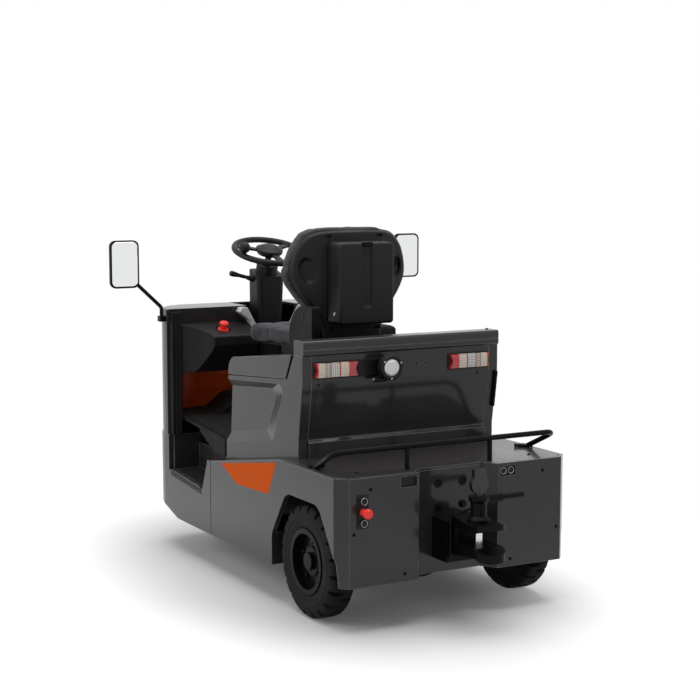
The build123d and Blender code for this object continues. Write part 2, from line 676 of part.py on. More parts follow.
def rear_upright():
    face = [(UPRIGHT_AHEAD, DECK_Z), (UPRIGHT_AHEAD, BEND_Z), (BAND_AHEAD, BAND_LOW_Z), (BAND_AHEAD, BEAM_LOW_Z)]
    back = [(point[0] + UPRIGHT_WALL, point[1]) for point in reversed(face)]
    kick = [(UPRIGHT_AHEAD - KICK, DECK_Z), (UPRIGHT_AHEAD + FIT, DECK_Z),
            (UPRIGHT_AHEAD + FIT, DECK_Z + KICK_HEIGHT + KICK), (UPRIGHT_AHEAD - KICK, DECK_Z + KICK_HEIGHT)]
    lip = BAND_AHEAD - BEAM_LIP
    beam = [(BAND_AHEAD, BEAM_LOW_Z), (lip, BEAM_LOW_Z + BEAM_LIP), (lip, BEAM_FOLD_Z - BEAM_FOLD),
            (lip + BEAM_FOLD, BEAM_FOLD_Z), (lip, BEAM_FOLD_Z + BEAM_FOLD), (lip, BEAM_TOP_Z),
            (BEAM_FRONT_AHEAD, BEAM_TOP_Z), (BEAM_FRONT_AHEAD, BEAM_LOW_Z)]
    upright = along_y(face + back, -UPPER_INNER, UPPER_INNER)
    upright += along_y(kick, -UPPER_INNER, UPPER_INNER)
    upright += along_y(beam, -UPPER_HALF, UPPER_HALF, [0, 0, 0, 0, 0, BEAM_ROUND, BEAM_ROUND, 0])
    for side in (-1, 1):
        place = (ahead(BAND_AHEAD + UPRIGHT_WALL / 2), SPARE_HOLE_Y + side * SPARE_HOLE_PITCH / 2,
                 (LAMP_LOW_Z + LAMP_TOP_Z) / 2)
        upright -= Pos(*place) * Rot(0, 90, 0) * Cylinder(SPARE_HOLE_RADIUS, 2 * UPRIGHT_WALL)
    return upright + both_sides(hinge_bracket())


def seat_box_front():
    face = [(UPPER_FRONT_AHEAD, TRAY_Z), (UPPER_FRONT_AHEAD, FLOOR_REAR_Z), (UPPER_FRONT_TOP_AHEAD, SPLIT_FRONT_Z)]
    back = [(point[0] - SHEET, point[1]) for point in reversed(face)]
    return along_y(face + back, -UPPER_INNER, UPPER_INNER)


def hinge_bracket():
    inner = HINGE_HALF_SPAN - KNUCKLE / 2
    points = [(BEAM_FRONT_AHEAD, HINGE_Z - HINGE_BARREL_RADIUS), (HINGE_AHEAD, HINGE_Z - HINGE_BARREL_RADIUS),
              (HINGE_AHEAD, HINGE_Z + HINGE_BARREL_RADIUS), (BEAM_FRONT_AHEAD, HINGE_Z + HINGE_BARREL_RADIUS)]
    arm = along_y(points, inner, inner + KNUCKLE)
    arm += Pos(ahead(HINGE_AHEAD), HINGE_HALF_SPAN, HINGE_Z) * Rot(90, 0, 0) * Cylinder(
        HINGE_BARREL_RADIUS, KNUCKLE)
    pin = rod((ahead(HINGE_AHEAD), HINGE_HALF_SPAN, HINGE_Z),
              (ahead(HINGE_AHEAD), HINGE_HALF_SPAN - 1.5 * KNUCKLE, HINGE_Z), HINGE_PIN_RADIUS)
    return arm + pin


def hood_shell():
    front = (UPPER_FRONT_TOP_AHEAD, SPLIT_FRONT_Z)
    rear = (SPLIT_REAR_AHEAD + HOOD_GAP, split_z(SPLIT_REAR_AHEAD + HOOD_GAP))
    top_rear = (HINGE_AHEAD + HINGE_PIN_RADIUS, hood_top_z(HINGE_AHEAD + HINGE_PIN_RADIUS))
    top_front = (UPPER_FRONT_TOP_AHEAD, HOOD_FRONT_Z)
    nose = min(HOOD_NOSE, HOOD_FRONT_Z - SPLIT_FRONT_Z - 2 * HOOD_GROOVE)
    shell = along_y([rear, front, top_front, top_rear], -UPPER_HALF, UPPER_HALF, [0, 0, nose, 0])
    cavity_front = front[0] - UPPER_WALL
    cavity_rear = top_rear[0] - UPPER_WALL
    cavity = [(rear[0] - UPPER_WALL, 0), (cavity_front, 0), (cavity_front, hood_top_z(cavity_front) - HOOD_WALL),
              (cavity_rear, hood_top_z(cavity_rear) - HOOD_WALL)]
    shell -= along_y(cavity, -UPPER_INNER, UPPER_INNER)
    groove = [(rear[0] - UPPER_WALL, rear[1] - UPPER_WALL), (front[0], front[1] - UPPER_WALL),
              (front[0], front[1] + HOOD_GROOVE), (rear[0] - UPPER_WALL, rear[1] + HOOD_GROOVE)]
    shell -= both_sides(along_y(groove, UPPER_HALF - HOOD_GAP, UPPER_HALF + HOOD_GAP))
    inner = HINGE_HALF_SPAN - 1.5 * KNUCKLE + FIT
    outer = HINGE_HALF_SPAN - KNUCKLE / 2 - FIT
    leaf_end = HINGE_AHEAD + KNUCKLE
    leaf = along_y([(HINGE_AHEAD, hood_top_z(HINGE_AHEAD) - HOOD_GROOVE),
                    (leaf_end, hood_top_z(leaf_end) - HOOD_GROOVE),
                    (leaf_end, hood_top_z(leaf_end) + HOOD_GROOVE),
                    (HINGE_AHEAD, HINGE_Z + HINGE_BARREL_RADIUS)], inner, outer)
    axis = ahead(HINGE_AHEAD)
    barrel = rod((axis, inner, HINGE_Z), (axis, outer, HINGE_Z), HINGE_BARREL_RADIUS)
    bore = rod((axis, 0, HINGE_Z), (axis, UPPER_HALF, HINGE_Z), HINGE_PIN_RADIUS + RUN)
    return shell + both_sides(leaf + barrel) - both_sides(bore)


def floor_plate():
    points = [(UPPER_FRONT_AHEAD, FLOOR_REAR_Z - FLOOR_WALL), (FLOOR_FRONT_AHEAD, FLOOR_FRONT_Z - FLOOR_WALL),
              (FLOOR_FRONT_AHEAD, FLOOR_FRONT_Z), (UPPER_FRONT_AHEAD, FLOOR_REAR_Z)]
    floor = along_y(points, -FLOOR_HALF, FLOOR_HALF)
    floor &= cowl_inside(FIT, SKIRT_Z, COWL_TOP_Z)
    sill = [(UPPER_FRONT_AHEAD, floor_z(UPPER_FRONT_AHEAD)), (SILL_FRONT_AHEAD, floor_z(SILL_FRONT_AHEAD)),
            (SILL_FRONT_AHEAD, floor_z(SILL_FRONT_AHEAD) - 2 * FLOOR_WALL),
            (STEP_REAR_AHEAD, SILL_LOW_Z), (UPPER_FRONT_AHEAD, SILL_LOW_Z)]
    floor += both_sides(along_y(sill, FLOOR_HALF - FLOOR_WALL, FLOOR_HALF, [0, 0, 0, SILL_ROUND, 0]))
    leg_front = UPPER_FRONT_AHEAD + 2 * SHEET
    rear_leg = [(UPPER_FRONT_AHEAD, TRAY_Z), (leg_front, TRAY_Z), (leg_front, FLOOR_REAR_Z - FLOOR_WALL / 2),
                (UPPER_FRONT_AHEAD, FLOOR_REAR_Z - FLOOR_WALL / 2)]
    floor += both_sides(along_y(rear_leg, RAIL_OUTER - 2 * RAIL_WIDTH, RAIL_OUTER))
    leg_base = TURNTABLE_Z + TURNTABLE_PLATE
    for start in (FRONT_AXLE_AHEAD - TURNTABLE_RADIUS, FRONT_AXLE_AHEAD + TURNTABLE_RADIUS - CROSS_WIDTH):
        leg = [(start, leg_base), (start + CROSS_WIDTH, leg_base),
               (start + CROSS_WIDTH, floor_z(start + CROSS_WIDTH) - FLOOR_WALL / 2),
               (start, floor_z(start) - FLOOR_WALL / 2)]
        floor += both_sides(along_y(leg, RAIL_OUTER - RAIL_WIDTH, RAIL_OUTER))
    shoulder = HUMP_HALF - HUMP_SIDE
    hump_foot = floor_z(HUMP_REAR_AHEAD)
    hump = [(-HUMP_HALF, SKIRT_Z), (HUMP_HALF, SKIRT_Z), (HUMP_HALF, hump_foot), (shoulder, HUMP_Z),
            (-shoulder, HUMP_Z), (-HUMP_HALF, hump_foot)]
    dome = along_x(hump, HUMP_REAR_AHEAD, FOOTWELL_WALL_AHEAD, [0, 0, 0, HUMP_ROUND, HUMP_ROUND, 0])
    below = [(UPPER_FRONT_AHEAD, 0), (BODY_LENGTH, 0), (BODY_LENGTH, floor_z(BODY_LENGTH) - FLOOR_WALL / 2),
             (UPPER_FRONT_AHEAD, floor_z(UPPER_FRONT_AHEAD) - FLOOR_WALL / 2)]
    return floor + (dome - along_y(below, -BODY_WIDTH, BODY_WIDTH))


def step_box():
    front_edge = STEP_FRONT_AHEAD + SHEET
    points = [(PANEL_FRONT_AHEAD, SKIRT_Z), (STEP_END_AHEAD, SKIRT_Z), (front_edge, STEP_FRONT_Z),
              (STEP_FRONT_AHEAD, STEP_FRONT_Z), (STEP_REAR_AHEAD, STEP_REAR_Z),
              (PANEL_FRONT_AHEAD + PANEL, PANEL_FRONT_Z), (PANEL_FRONT_AHEAD, PANEL_FRONT_Z)]
    step = along_y(points, PANEL_INNER, HALF_WIDTH, [0, 0, 0, 0, STEP_ROUND, 0, 0])
    tread = [(STEP_REAR_AHEAD - SHEET, step_z(STEP_REAR_AHEAD - SHEET) - SHEET),
             (front_edge, step_z(front_edge) - SHEET), (front_edge, step_z(front_edge)),
             (STEP_REAR_AHEAD - SHEET, step_z(STEP_REAR_AHEAD - SHEET))]
    step += along_y(tread, RAIL_OUTER, PANEL_INNER)
    step += block(STEP_FRONT_AHEAD, front_edge, RAIL_OUTER, PANEL_INNER, STEP_FRONT_Z - SHEET, WAIST_Z)
    back = [(STEP_REAR_AHEAD - SHEET, STEP_REAR_Z - SHEET), (STEP_REAR_AHEAD, STEP_REAR_Z),
            (PANEL_FRONT_AHEAD + PANEL, PANEL_FRONT_Z), (PANEL_FRONT_AHEAD + PANEL - SHEET, PANEL_FRONT_Z)]
    step += along_y(back, RAIL_OUTER, PANEL_INNER)
    wall = [(PANEL_FRONT_AHEAD + PANEL, PANEL_FRONT_Z), (STEP_REAR_AHEAD - SHEET, STEP_REAR_Z - SHEET),
            (front_edge, STEP_FRONT_Z - SHEET), (front_edge, PANEL_FRONT_Z)]
    step += along_y(wall, RAIL_OUTER, RAIL_OUTER + SHEET)
    return step + tread_teeth() - below_approach(RAIL_OUTER, BODY_WIDTH)


def tread_teeth():
    """Saw teeth along the outer lip of the left step's tread."""
    start = STEP_REAR_AHEAD + 2 * STEP_ROUND
    count = math.floor((STEP_FRONT_AHEAD - start) / TOOTH_PITCH)
    lip = [(start, step_z(start) - TOOTH_HEIGHT)]
    for index in range(count):
        root = start + index * TOOTH_PITCH
        lip.append((root, step_z(root)))
        lip.append((root + TOOTH_PITCH / 2, step_z(root) + TOOTH_HEIGHT))
    end = start + count * TOOTH_PITCH
    lip += [(end, step_z(end)), (end, step_z(end) - TOOTH_HEIGHT)]
    return along_y(lip, PANEL_INNER, HALF_WIDTH)


def front_wrap(half_width, front, corner, wall, ahead_start, z_low, z_high):
    """Upright skin round the front end: straight sides, round corners, flat front."""
    outer = [(ahead_start - corner, -half_width), (front, -half_width), (front, half_width),
             (ahead_start - corner, half_width)]
    inner = [(ahead_start - 2 * corner, wall - half_width), (front - wall, wall - half_width),
             (front - wall, half_width - wall), (ahead_start - 2 * corner, half_width - wall)]
    skin = along_z(outer, z_low, z_high, [0, corner, corner, 0])
    skin -= along_z(inner, z_low, z_high, [0, corner - wall, corner - wall, 0])
    return skin - block(ahead_start - 2 * corner, ahead_start, -half_width, half_width, z_low, z_high)


def cowl_inside(clearance, z_low, z_high):
    """Room inside the front cowl's skin, less a clearance."""
    half = HALF_WIDTH - COWL_WALL - clearance
    front = BODY_LENGTH - BUMPER_PROUD - COWL_WALL - clearance
    corner = FRONT_CORNER - COWL_WALL - clearance
    points = [(0, -half), (front, -half), (front, half), (0, half)]
    return along_z(points, z_low, z_high, [0, corner, corner, 0])


def front_bumper():
    start = STEP_FRONT_AHEAD + SHEET + SEAM
    skin = front_wrap(HALF_WIDTH, BODY_LENGTH, FRONT_CORNER, BUMPER_WALL, start, SKIRT_Z, WAIST_Z)
    behind = [(start - SHEET, 0), (STEP_END_AHEAD + SEAM, 0), (STEP_END_AHEAD + SEAM, SKIRT_Z),
              (start, STEP_FRONT_Z), (start - SHEET, STEP_FRONT_Z)]
    skin -= along_y(behind, -BODY_WIDTH, BODY_WIDTH)
    return skin - below_approach(-BODY_WIDTH, BODY_WIDTH)


def front_cowl():
    front = BODY_LENGTH - BUMPER_PROUD
    skin = front_wrap(HALF_WIDTH, front, FRONT_CORNER, COWL_WALL, COWL_REAR_AHEAD, WAIST_Z, COWL_TOP_Z)
    lid = [(COWL_REAR_AHEAD, -HALF_WIDTH), (front, -HALF_WIDTH), (front, HALF_WIDTH),
           (COWL_REAR_AHEAD, HALF_WIDTH)]
    skin += along_z(lid, COWL_TOP_Z - COWL_WALL, COWL_TOP_Z, [0, FRONT_CORNER, FRONT_CORNER, 0])
    brow = [edge for edge in skin.edges()
            if edge.center().Z > COWL_TOP_Z - FIT and edge.center().X > ahead(COWL_REAR_AHEAD) + COWL_WALL / 4]
    skin = fillet(brow, COWL_EDGE)
    skin += block(COWL_REAR_AHEAD, COWL_REAR_AHEAD + COWL_WALL, -FLOOR_HALF, FLOOR_HALF, DASH_FLANGE_Z,
                  COWL_TOP_Z - COWL_EDGE)
    notch_front = COLUMN_AHEAD + COLUMN_DEPTH
    return skin - block(COWL_REAR_AHEAD - COWL_WALL, notch_front, -COLUMN_NOTCH_HALF, COLUMN_NOTCH_HALF,
                        DASH_FLANGE_Z - COWL_WALL, COWL_TOP_Z + COWL_WALL)


def corner_post():
    outer_y = HALF_WIDTH - COWL_WALL
    back = POST_REAR_AHEAD + POST_DEPTH
    inner_y = outer_y - POST_WIDTH
    web = POST_REAR_AHEAD + SHEET
    channel = [(POST_REAR_AHEAD, outer_y), (POST_REAR_AHEAD, inner_y), (back, inner_y), (back, inner_y + SHEET),
               (web, inner_y + SHEET), (web, outer_y - SHEET), (back, outer_y - SHEET), (back, outer_y)]
    post = along_z(channel, WAIST_Z, COWL_TOP_Z - COWL_WALL)
    for share in (1 / 3, 2 / 3):
        middle = outer_y - share * POST_WIDTH
        post -= block(POST_REAR_AHEAD, POST_REAR_AHEAD + POST_GROOVE, middle - POST_GROOVE / 2,
                      middle + POST_GROOVE / 2, WAIST_Z, COWL_TOP_Z)
    return post


def footwell_wall():
    wall_front = FLOOR_FRONT_AHEAD
    cowl_face = BODY_LENGTH - BUMPER_PROUD - COWL_WALL
    points = [(FOOTWELL_WALL_AHEAD, floor_z(FOOTWELL_WALL_AHEAD)), (wall_front, floor_z(wall_front)),
              (wall_front, FOOTWELL_TOP_Z - SHEET), (cowl_face, FOOTWELL_TOP_Z - SHEET),
              (cowl_face, FOOTWELL_TOP_Z), (FOOTWELL_WALL_AHEAD, FOOTWELL_TOP_Z)]
    wall = along_y(points, -FOOTWELL_HALF, FOOTWELL_HALF)
    low = HUMP_Z + SHEET
    foot_half = FOOTWELL_HALF - SHEET
    top_half = FOOTWELL_HALF - SWAGE_LEAN
    swage = [(-foot_half, low), (foot_half, low), (top_half, FOOTWELL_TOP_Z - SHEET),
             (-top_half, FOOTWELL_TOP_Z - SHEET)]
    return wall + along_x(swage, FOOTWELL_WALL_AHEAD - SWAGE, FOOTWELL_WALL_AHEAD + FIT)


def dash_pod():
    lip_end = FLOOR_HALF - POD_END_CUT
    rear_edge = COWL_REAR_AHEAD - SHEET
    hollow = ((rear_edge + POD_LIP_AHEAD) / 2 + POD_END_HOLLOW / 2, (FLOOR_HALF + lip_end) / 2 - POD_END_HOLLOW)
    straight = Polyline((ahead(POD_LIP_AHEAD), lip_end), (ahead(POD_LIP_AHEAD), POD_INNER),
                        (ahead(COWL_REAR_AHEAD), POD_INNER), (ahead(COWL_REAR_AHEAD), FLOOR_HALF),
                        (ahead(rear_edge), FLOOR_HALF))
    swept_end = ThreePointArc((ahead(rear_edge), FLOOR_HALF), (ahead(hollow[0]), hollow[1]),
                              (ahead(POD_LIP_AHEAD), lip_end))
    plan = make_face([straight, swept_end])
    pod = extrude(Pos(0, 0, POD_LOW_Z) * plan, POD_TOP_Z - POD_LOW_Z)
    profile = [(COWL_REAR_AHEAD, POD_LOW_Z), (COWL_REAR_AHEAD, POD_TOP_Z), (POD_LIP_AHEAD, POD_LIP_Z),
               (POD_LIP_AHEAD, POD_LIP_Z - POD_LIP_DROP), (COWL_REAR_AHEAD - UPPER_WALL, POD_LOW_Z)]
    pod &= along_y(profile, 0, HALF_WIDTH, [0, 0, POD_ROUND, POD_ROUND, POD_ROUND])
    return pod - stop_seat() * Cylinder(STOP_RECESS_RADIUS, 2 * STOP_RECESS)


def stop_seat():
    """Place of the emergency stop on the left pod, square to the pod's sloping top."""
    middle = (POD_LIP_AHEAD + COWL_REAR_AHEAD) / 2
    slope = math.degrees(math.atan2(POD_TOP_Z - POD_LIP_Z, POD_DEPTH))
    return Pos(ahead(middle), STOP_Y, pod_z(middle)) * Rot(0, -slope, 0)


def emergency_stop():
    low = -STOP_RECESS
    cap = STOP_RADIUS
    profile = [(0, low), (1.2 * cap, low), (1.2 * cap, 0), (0.6 * cap, 0.2 * cap), (0.6 * cap, cap), (cap, cap),
               (cap, 1.4 * cap), (0.8 * cap, 1.6 * cap), (0, 1.7 * cap)]
    return stop_seat() * turned(profile)


def wheel_axis():
    """Unit vector along the steering shaft, up and towards the driver."""
    tilt = math.radians(WHEEL_TILT)
    return Vector(-math.sin(tilt), 0, math.cos(tilt))


def wheel_plane(drop=0.0):
    """Plane square to the steering shaft, a given way below the wheel's middle."""
    centre = Vector(ahead(WHEEL_AHEAD), 0, WHEEL_Z) - wheel_axis() * drop
    return Plane(centre, x_dir=(math.cos(math.radians(WHEEL_TILT)), 0, math.sin(math.radians(WHEEL_TILT))),
                 z_dir=wheel_axis())


def steering_column():
    top = wheel_plane(COLUMN_DROP)
    base = Plane((ahead(COLUMN_AHEAD), 0, HUMP_Z))
    sections = [base * RectangleRounded(COLUMN_DEPTH, COLUMN_FOOT_WIDTH, COLUMN_ROUND),
                top * RectangleRounded(COLUMN_DEPTH, COLUMN_WIDTH, COLUMN_ROUND)]
    column = loft(sections)
    column += extrude(top * Circle(COLLAR_RADIUS), COLLAR_HEIGHT)
    column += extrude(top * Circle(SHAFT_RADIUS), COLUMN_DROP)
    lever_root = top * Pos(0, COLUMN_WIDTH / 2 - SHEET, -3 * SHEET) * Rot(-STALK_TILT, 0, 0)
    return column + lever_root * direction_stalk()


def direction_stalk():
    """Stalk with its rubber bellows and round knob, standing on the Z axis."""
    pitch = BELLOWS_LENGTH / BELLOWS_RIBS
    profile = [(0, 0), (BELLOWS_RADIUS, 0)]
    for rib in range(BELLOWS_RIBS):
        wide = BELLOWS_RADIUS - rib * (BELLOWS_RADIUS - 1.6 * STALK_RADIUS) / BELLOWS_RIBS
        profile += [(wide, (rib + 0.5) * pitch), (wide - STALK_RADIUS / 2, (rib + 1) * pitch)]
    profile += [(STALK_RADIUS, BELLOWS_LENGTH), (STALK_RADIUS, STALK_REACH), (0, STALK_REACH)]
    return turned(profile) + Pos(0, 0, STALK_REACH) * Sphere(STALK_KNOB_RADIUS)


def column_fin():
    top_y = FIN_OUTER - FIN_WIDTH
    pod_side = POD_INNER - SEAM
    points = [(FIN_OUTER, FIN_TOP_Z - FIN_WIDTH / 2), (FIN_OUTER - FIN_WIDTH / 3, FIN_TOP_Z), (top_y, FIN_TOP_Z),
              (pod_side - FIN_WIDTH, FIN_LOW_Z), (pod_side, FIN_LOW_Z), (pod_side, POD_TOP_Z + SEAM)]
    radii = [FIN_ROUND, FIN_ROUND, 0, 0, FIN_ROUND, 0]
    return along_x(points, COWL_REAR_AHEAD - FIN_DEPTH, COWL_REAR_AHEAD, radii)


def steering_wheel():
    plane = wheel_plane()
    hub = turned([(0, -WHEEL_GRIP), (WHEEL_HUB_RADIUS - SHEET, -WHEEL_GRIP), (WHEEL_HUB_RADIUS, 0),
                  (WHEEL_HUB_RADIUS, WHEEL_GRIP), (WHEEL_HUB_RADIUS / 2, WHEEL_GRIP + 0.8 * WHEEL_HUB_DOME),
                  (0, WHEEL_GRIP + WHEEL_HUB_DOME)])
    wheel = plane * (Torus(WHEEL_RADIUS, WHEEL_GRIP) + hub)
    for angle in (60, 180, 300):
        spoke = Pos(WHEEL_RADIUS / 2, 0, 0) * Box(WHEEL_RADIUS, 2 * WHEEL_GRIP, 0.7 * WHEEL_GRIP)
        wheel += plane * Rot(0, 0, angle) * spoke
    stem = Pos(0, 0, KNOB_STEM) * Cylinder(KNOB_STEM, 2 * KNOB_STEM)
    knob = stem + Pos(0, 0, 2 * KNOB_STEM + 0.6 * KNOB_RADIUS) * Sphere(KNOB_RADIUS)
    wheel += plane * Rot(0, 0, KNOB_ANGLE) * Pos(0, WHEEL_RADIUS, 0) * knob
    bore = Pos(0, 0, -WHEEL_GRIP) * Cylinder(SHAFT_RADIUS + RUN, 2 * WHEEL_GRIP + 2 * FIT)
    return wheel - plane * bore


def pedals():
    foot = FOOTWELL_WALL_AHEAD - SWAGE
    pivot_z = HUMP_Z + UPPER_WALL
    pad_ahead = foot - 3 * UPPER_WALL
    low_y = min(PEDAL_INSETS) - FOOTWELL_HALF - PEDAL_WIDTHS[0] / 2
    high_y = max(PEDAL_INSETS) - FOOTWELL_HALF + PEDAL_WIDTHS[1] / 2
    pedal_set = block(foot - SHEET, foot, low_y, high_y, pivot_z - SHEET, pivot_z + 2 * SHEET)
    for inset, width in zip(PEDAL_INSETS, PEDAL_WIDTHS):
        place = inset - FOOTWELL_HALF
        arm = block(pad_ahead, foot, place - SHEET / 2, place + SHEET / 2, pivot_z, pivot_z + SHEET)
        pad = Pos(ahead(pad_ahead), place, pivot_z) * Rot(0, -PEDAL_TILT, 0) * Box(SHEET, width, PEDAL_PAD)
        pedal_set += arm + pad
    return pedal_set


def mirror_head():
    outer = MIRROR_INNER + MIRROR_WIDTH
    top_z = MIRROR_LOW_Z + MIRROR_HEIGHT
    head_points = [(MIRROR_INNER, MIRROR_LOW_Z), (outer, MIRROR_LOW_Z), (outer, top_z), (MIRROR_INNER, top_z)]
    head = along_x(head_points, MIRROR_AHEAD, MIRROR_AHEAD + MIRROR_DEPTH, MIRROR_ROUND)
    head = fillet(head.edges().group_by(Axis.X)[-1], MIRROR_DEPTH / 2)
    arm_ahead = ahead(COWL_REAR_AHEAD + 2 * MIRROR_ARM_RADIUS)
    stand_y = HALF_WIDTH + 2 * MIRROR_ARM_RADIUS
    path = [(arm_ahead, stand_y, MIRROR_CLAMP_Z), (arm_ahead, stand_y, COWL_TOP_Z + MIRROR_ARM_RADIUS),
            (arm_ahead, MIRROR_INNER, MIRROR_LOW_Z + 2 * MIRROR_ARM_RADIUS),
            (ahead(MIRROR_AHEAD + MIRROR_DEPTH / 2), MIRROR_INNER + UPPER_WALL, MIRROR_LOW_Z + UPPER_WALL)]
    spine = FilletPolyline(*path, radius=[2.5 * MIRROR_ARM_RADIUS, 1.5 * MIRROR_ARM_RADIUS])
    arm = sweep(Plane(path[0], z_dir=(0, 0, 1)) * Circle(MIRROR_ARM_RADIUS), path=spine)
    clamp = block(COWL_REAR_AHEAD, COWL_REAR_AHEAD + 4 * MIRROR_ARM_RADIUS, HALF_WIDTH,
                  stand_y + 1.5 * MIRROR_ARM_RADIUS,
                  MIRROR_CLAMP_Z - MIRROR_ARM_RADIUS, MIRROR_CLAMP_Z + 2 * MIRROR_ARM_RADIUS)
    return head + arm + clamp


def handrail():
    foot = (ahead(RAIL_FOOT_AHEAD), RAIL_FOOT_HALF, DECK_Z - RAIL_RADIUS)
    corner = (ahead(RAIL_AHEAD), RAIL_HALF, RAIL_Z)
    path = [foot, corner, (corner[0], -corner[1], corner[2]), (foot[0], -foot[1], foot[2])]
    spine = FilletPolyline(*path, radius=RAIL_BEND)
    start = Plane(foot, z_dir=Vector(*corner) - Vector(*foot))
    rail = sweep(start * Circle(RAIL_RADIUS), path=spine)
    post = rod((ahead(RAIL_AHEAD), RAIL_POST_Y, DECK_Z - RAIL_RADIUS), (ahead(RAIL_AHEAD), RAIL_POST_Y, RAIL_Z),
               0.9 * RAIL_RADIUS)
    base = rod((foot[0], foot[1], DECK_Z), (foot[0], foot[1], DECK_Z + RAIL_FOOT), RAIL_FOOT_RADIUS)
    below = block(0, PANEL_KINK_AHEAD, -HALF_WIDTH, HALF_WIDTH, DECK_Z - 4 * RAIL_RADIUS, DECK_Z)
    return rail + both_sides(post + base) - below


def tail_lamp():
    plate = block(BAND_AHEAD - LAMP_PLATE, BAND_AHEAD, LAMP_INNER, LAMP_OUTER,
                  LAMP_LOW_Z - LAMP_PLATE, LAMP_TOP_Z + LAMP_PLATE)
    middle_z = (LAMP_LOW_Z + LAMP_TOP_Z) / 2
    lens = [(LAMP_INNER, LAMP_LOW_Z), (LAMP_OUTER, LAMP_LOW_Z), (LAMP_OUTER - LAMP_NOTCH, middle_z),
            (LAMP_OUTER, LAMP_TOP_Z), (LAMP_INNER, LAMP_TOP_Z), (LAMP_INNER + LAMP_NOTCH, middle_z)]
    return plate + along_x(lens, BAND_AHEAD - LAMP_PROUD, BAND_AHEAD - LAMP_PLATE)


def work_lamp():
    bezel = WORK_LAMP_RADIUS + WORK_LAMP_BEZEL
    depth = WORK_LAMP_REACH - WORK_LAMP_RADIUS / 2
    profile = [(0, 0), (bezel, 0), (bezel, 2 * WORK_LAMP_BEZEL), (WORK_LAMP_RADIUS, 3 * WORK_LAMP_BEZEL),
               (0.8 * WORK_LAMP_RADIUS, depth), (0, depth)]
    lamp = Pos(ahead(BAND_AHEAD - WORK_LAMP_REACH), WORK_LAMP_Y, WORK_LAMP_Z) * Rot(0, 90, 0) * turned(profile)
    lamp += block(BAND_AHEAD - WORK_LAMP_RADIUS, BAND_AHEAD, WORK_LAMP_Y - SHEET, WORK_LAMP_Y + SHEET,
                  WORK_LAMP_Z - WORK_LAMP_RADIUS / 2, WORK_LAMP_Z + WORK_LAMP_RADIUS / 2)
    return lamp + block(BAND_AHEAD - LAMP_PLATE, BAND_AHEAD, WORK_LAMP_Y - bezel, LAMP_INNER,
                        LAMP_LOW_Z - LAMP_PLATE, LAMP_TOP_Z + LAMP_PLATE)


def headlamp():
    front = BODY_LENGTH - BUMPER_PROUD
    place = HALF_WIDTH - HEADLAMP_INSET
    lamp = rod((ahead(front), place, HEADLAMP_Z), (ahead(front + SHEET), place, HEADLAMP_Z), HEADLAMP_RADIUS)
    return fillet(lamp.edges().group_by(Axis.X)[-1], SHEET / 2)


def rear_switch_plate():
    inner = SWITCH_OUTER - SWITCH_WIDTH
    top_z = SWITCH_LOW_Z + SWITCH_HEIGHT
    points = [(inner, SWITCH_LOW_Z), (SWITCH_OUTER, SWITCH_LOW_Z), (SWITCH_OUTER, top_z), (inner, top_z)]
    plate = along_x(points, -LAMP_PLATE, 0, 1.5 * LAMP_PLATE)
    middle = SWITCH_OUTER - SWITCH_WIDTH / 2
    for side in (-1, 1):
        place = SWITCH_LOW_Z + SWITCH_HEIGHT / 2 + side * SWITCH_HEIGHT / 3
        plate += rod((ahead(-3 * LAMP_PLATE), middle, place), (ahead(0), middle, place), SWITCH_BUTTON_RADIUS)
    return plate


def rear_stop_button():
    cap = STOP_BUTTON_RADIUS
    reach = STOP_BUTTON_REACH - LAMP_PLATE
    neck = 0.55 * cap
    profile = [(0, 0), (0.75 * cap, 0), (0.75 * cap, 0.4 * reach), (neck, 0.5 * reach), (neck, 0.65 * reach),
               (cap, 0.65 * reach), (cap, 0.85 * reach), (0.7 * cap, 0.97 * reach), (0, reach)]
    place = (ahead(-LAMP_PLATE), SWITCH_OUTER - SWITCH_WIDTH / 2, SWITCH_LOW_Z + SWITCH_HEIGHT / 2)
    return Pos(*place) * Rot(0, -90, 0) * turned(profile)


def jaw_lip(root_z, tip_z, edge_z):
    """One lip of the towing jaw: a plate with a round nose whose end flares away from the gap."""
    nose = -HITCH_REACH
    bend = -(HITCH_REACH + PIN_BACK) / 2
    plan = [(-JAW_BASE_BACK, -JAW_HALF), (-JAW_BASE_BACK, JAW_HALF), (nose, JAW_HALF), (nose, -JAW_HALF)]
    flare = JAW_LIP if edge_z > root_z else -JAW_LIP
    profile = [(-JAW_BASE_BACK, root_z), (bend, root_z), (nose, root_z + flare), (nose, edge_z + flare),
               (bend, edge_z), (-JAW_BASE_BACK, tip_z)]
    low = min(root_z, edge_z) - JAW_LIP
    high = max(root_z, edge_z, tip_z) + JAW_LIP
    return along_z(plan, low, high, [0, 0, JAW_ROUND, JAW_ROUND]) & along_y(profile, -JAW_HALF, JAW_HALF)


